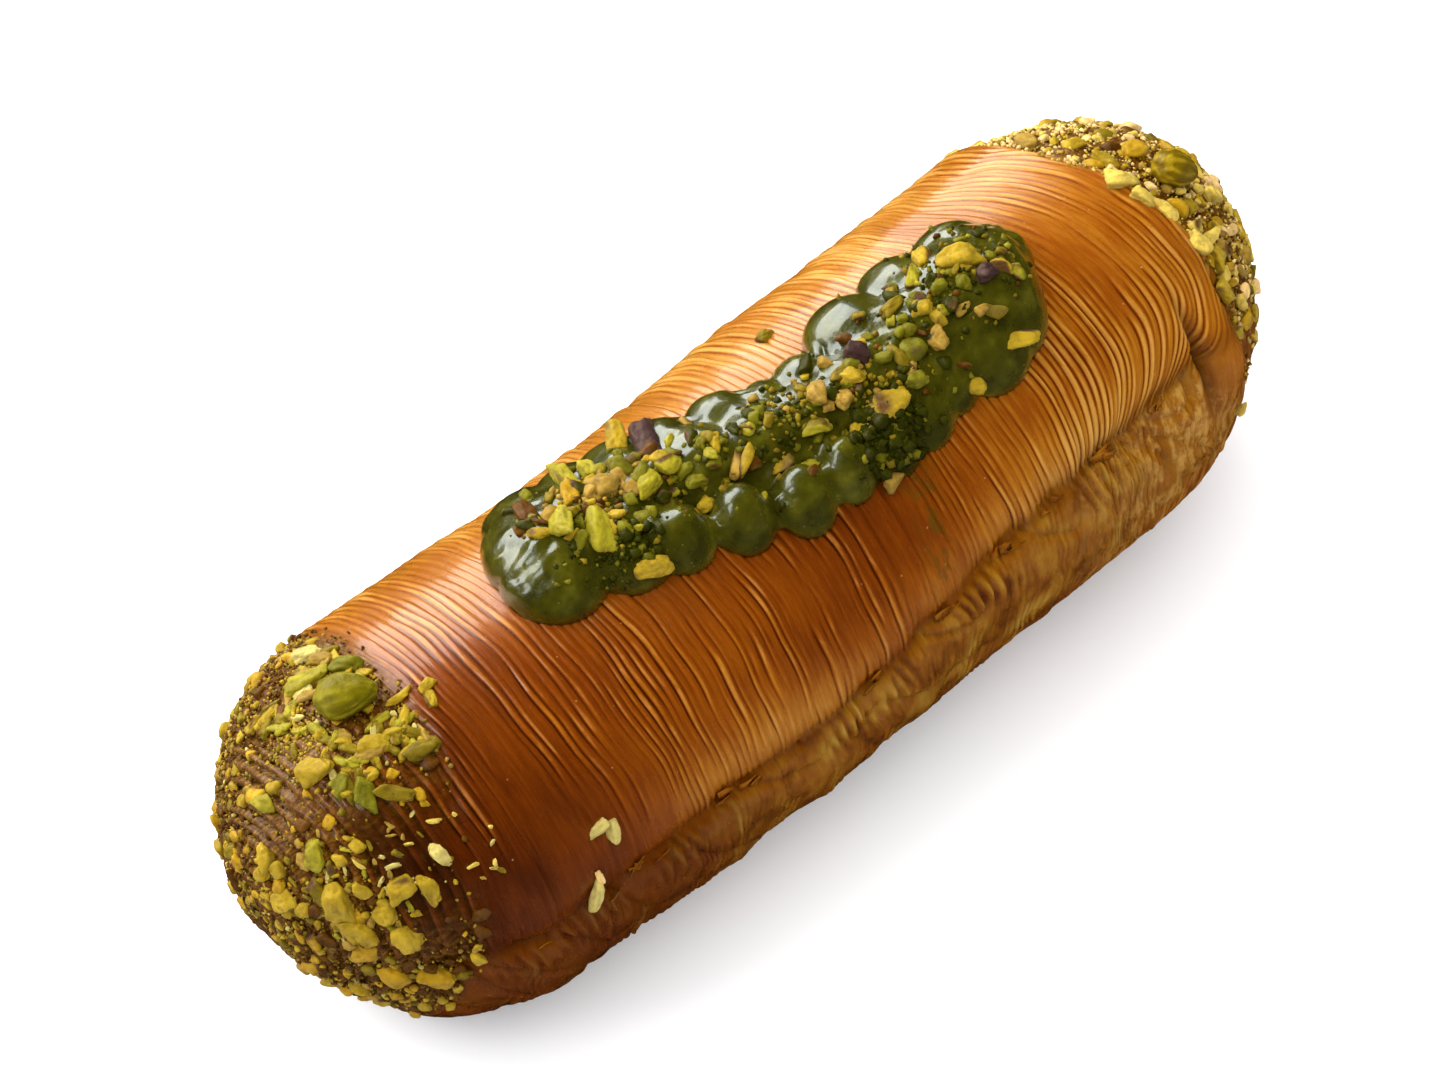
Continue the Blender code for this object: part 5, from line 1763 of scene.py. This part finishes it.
# name: seed, first and last station, crumbs (count, smallest, largest, subdivisions, colours) and dust
# (count, smallest, largest, evenness, colours, angles)
COATS = {
    "near": (
        61, 0.0, 1.2,
        ((235, 1.3, 2.4, 3, LARGE_MIX), (500, 0.8, 1.3, 2, CRUMB_MIX)),
        ((6600, 0.35, 0.9, 0.0, DUST_MIX), (300, 0.35, 1.0, 0.25, SPECK_MIX)),
    ),
    "far": (
        67, 2.0, 3.0,
        ((240, 1.4, 2.8, 3, FAR_PAINTED_LIGHT_MIX), (450, 0.8, 1.4, 2, FAR_PAINTED_LIGHT_MIX)),
        (
            (3500, 0.35, 1.1, 0.0, FAR_TOP_PAINTED_LIGHT_MIX, (94, 246)), (2600, 0.35, 1.0, 0.0, FAR_FRONT_MIX, (-66, 100)),
            (200, 0.35, 1.1, 0.2, SPECK_MIX),
        ),
    ),
}


def coat_end(name, seed, low, high, crumbs, dust):
    """Crumbs and dust of one end, a mesh for each kind."""
    rng = np.random.default_rng(seed)
    crumb_heap, dust_heap = Heap(), Heap()
    for setting in crumbs:
        add_crumbs(crumb_heap, rng, low, high, *setting)
    for setting in dust:
        add_dust(dust_heap, rng, low, high, *setting)
    return [crumb_heap.piece(f"{name}_crumbs", flesh), dust_heap.piece(f"{name}_dust", flesh)]


coat_pieces = [piece for name, setting in COATS.items() for piece in coat_end(name, *setting)]
for piece in [*coat_pieces, end_heap.piece("nuts_on_ends", flesh)]:
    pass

# %% [markdown]
# ## The whole kernels
# Each end carries one whole shelled kernel. It is egg-shaped and smooth, with a crease where its halves meet,
# shallow wrinkles, and light streaks on its green skin.

# %% Kernels
KERNEL_SINK = 1.5
KERNEL_TAPER = 0.24
KERNEL_CREASE, CREASE_WIDTH = 0.08, 0.10


def make_kernel(name, node, where, seed, dark, light):
    """A whole kernel in its seat."""
    p, angle, length, width, thickness, turn = where
    t = math.radians(angle)
    directions, faces = ball(5)
    x, y, z = directions.T
    taper = 1 - KERNEL_TAPER * x
    crease = 1 - KERNEL_CREASE * hill(z - 0.25 * x, CREASE_WIDTH)
    lumpy = 1 + 0.07 * soft_noise(directions, 0.6, seed) + 0.03 * soft_noise(directions, 0.22, seed)
    points = stack3(x * length / 2, y * width / 2 * taper * crease, z * thickness / 2 * taper)
    points = points * lumpy[:, None]
    normal = outward(np.array(p), np.array(t))
    middle = log_point(place_along(p), t) + normal * (thickness / 2 - KERNEL_SINK)
    streak = ramp_up(-0.1, 0.5, soft_noise(stack3(x * 0.8, y * 3, z * 3), 1.0, seed + 9))[:, None]
    heap = Heap()
    heap.add(
        middle + points @ resting_frame(normal, math.radians(turn)), faces,
        (1 - streak) * np.array(dark) + streak * np.array(light),
    )
    piece = heap.piece(name, kernel_skin)
    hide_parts(node)


make_kernel("whole_kernel_near", "kernel_near", KERNEL_NEAR, 3.0, (0.13, 0.105, 0.0015), (0.24, 0.20, 0.008))
make_kernel("whole_kernel_far", "kernel_far", KERNEL_FAR, 8.0, (0.14, 0.085, 0.0005), (0.30, 0.20, 0.006))
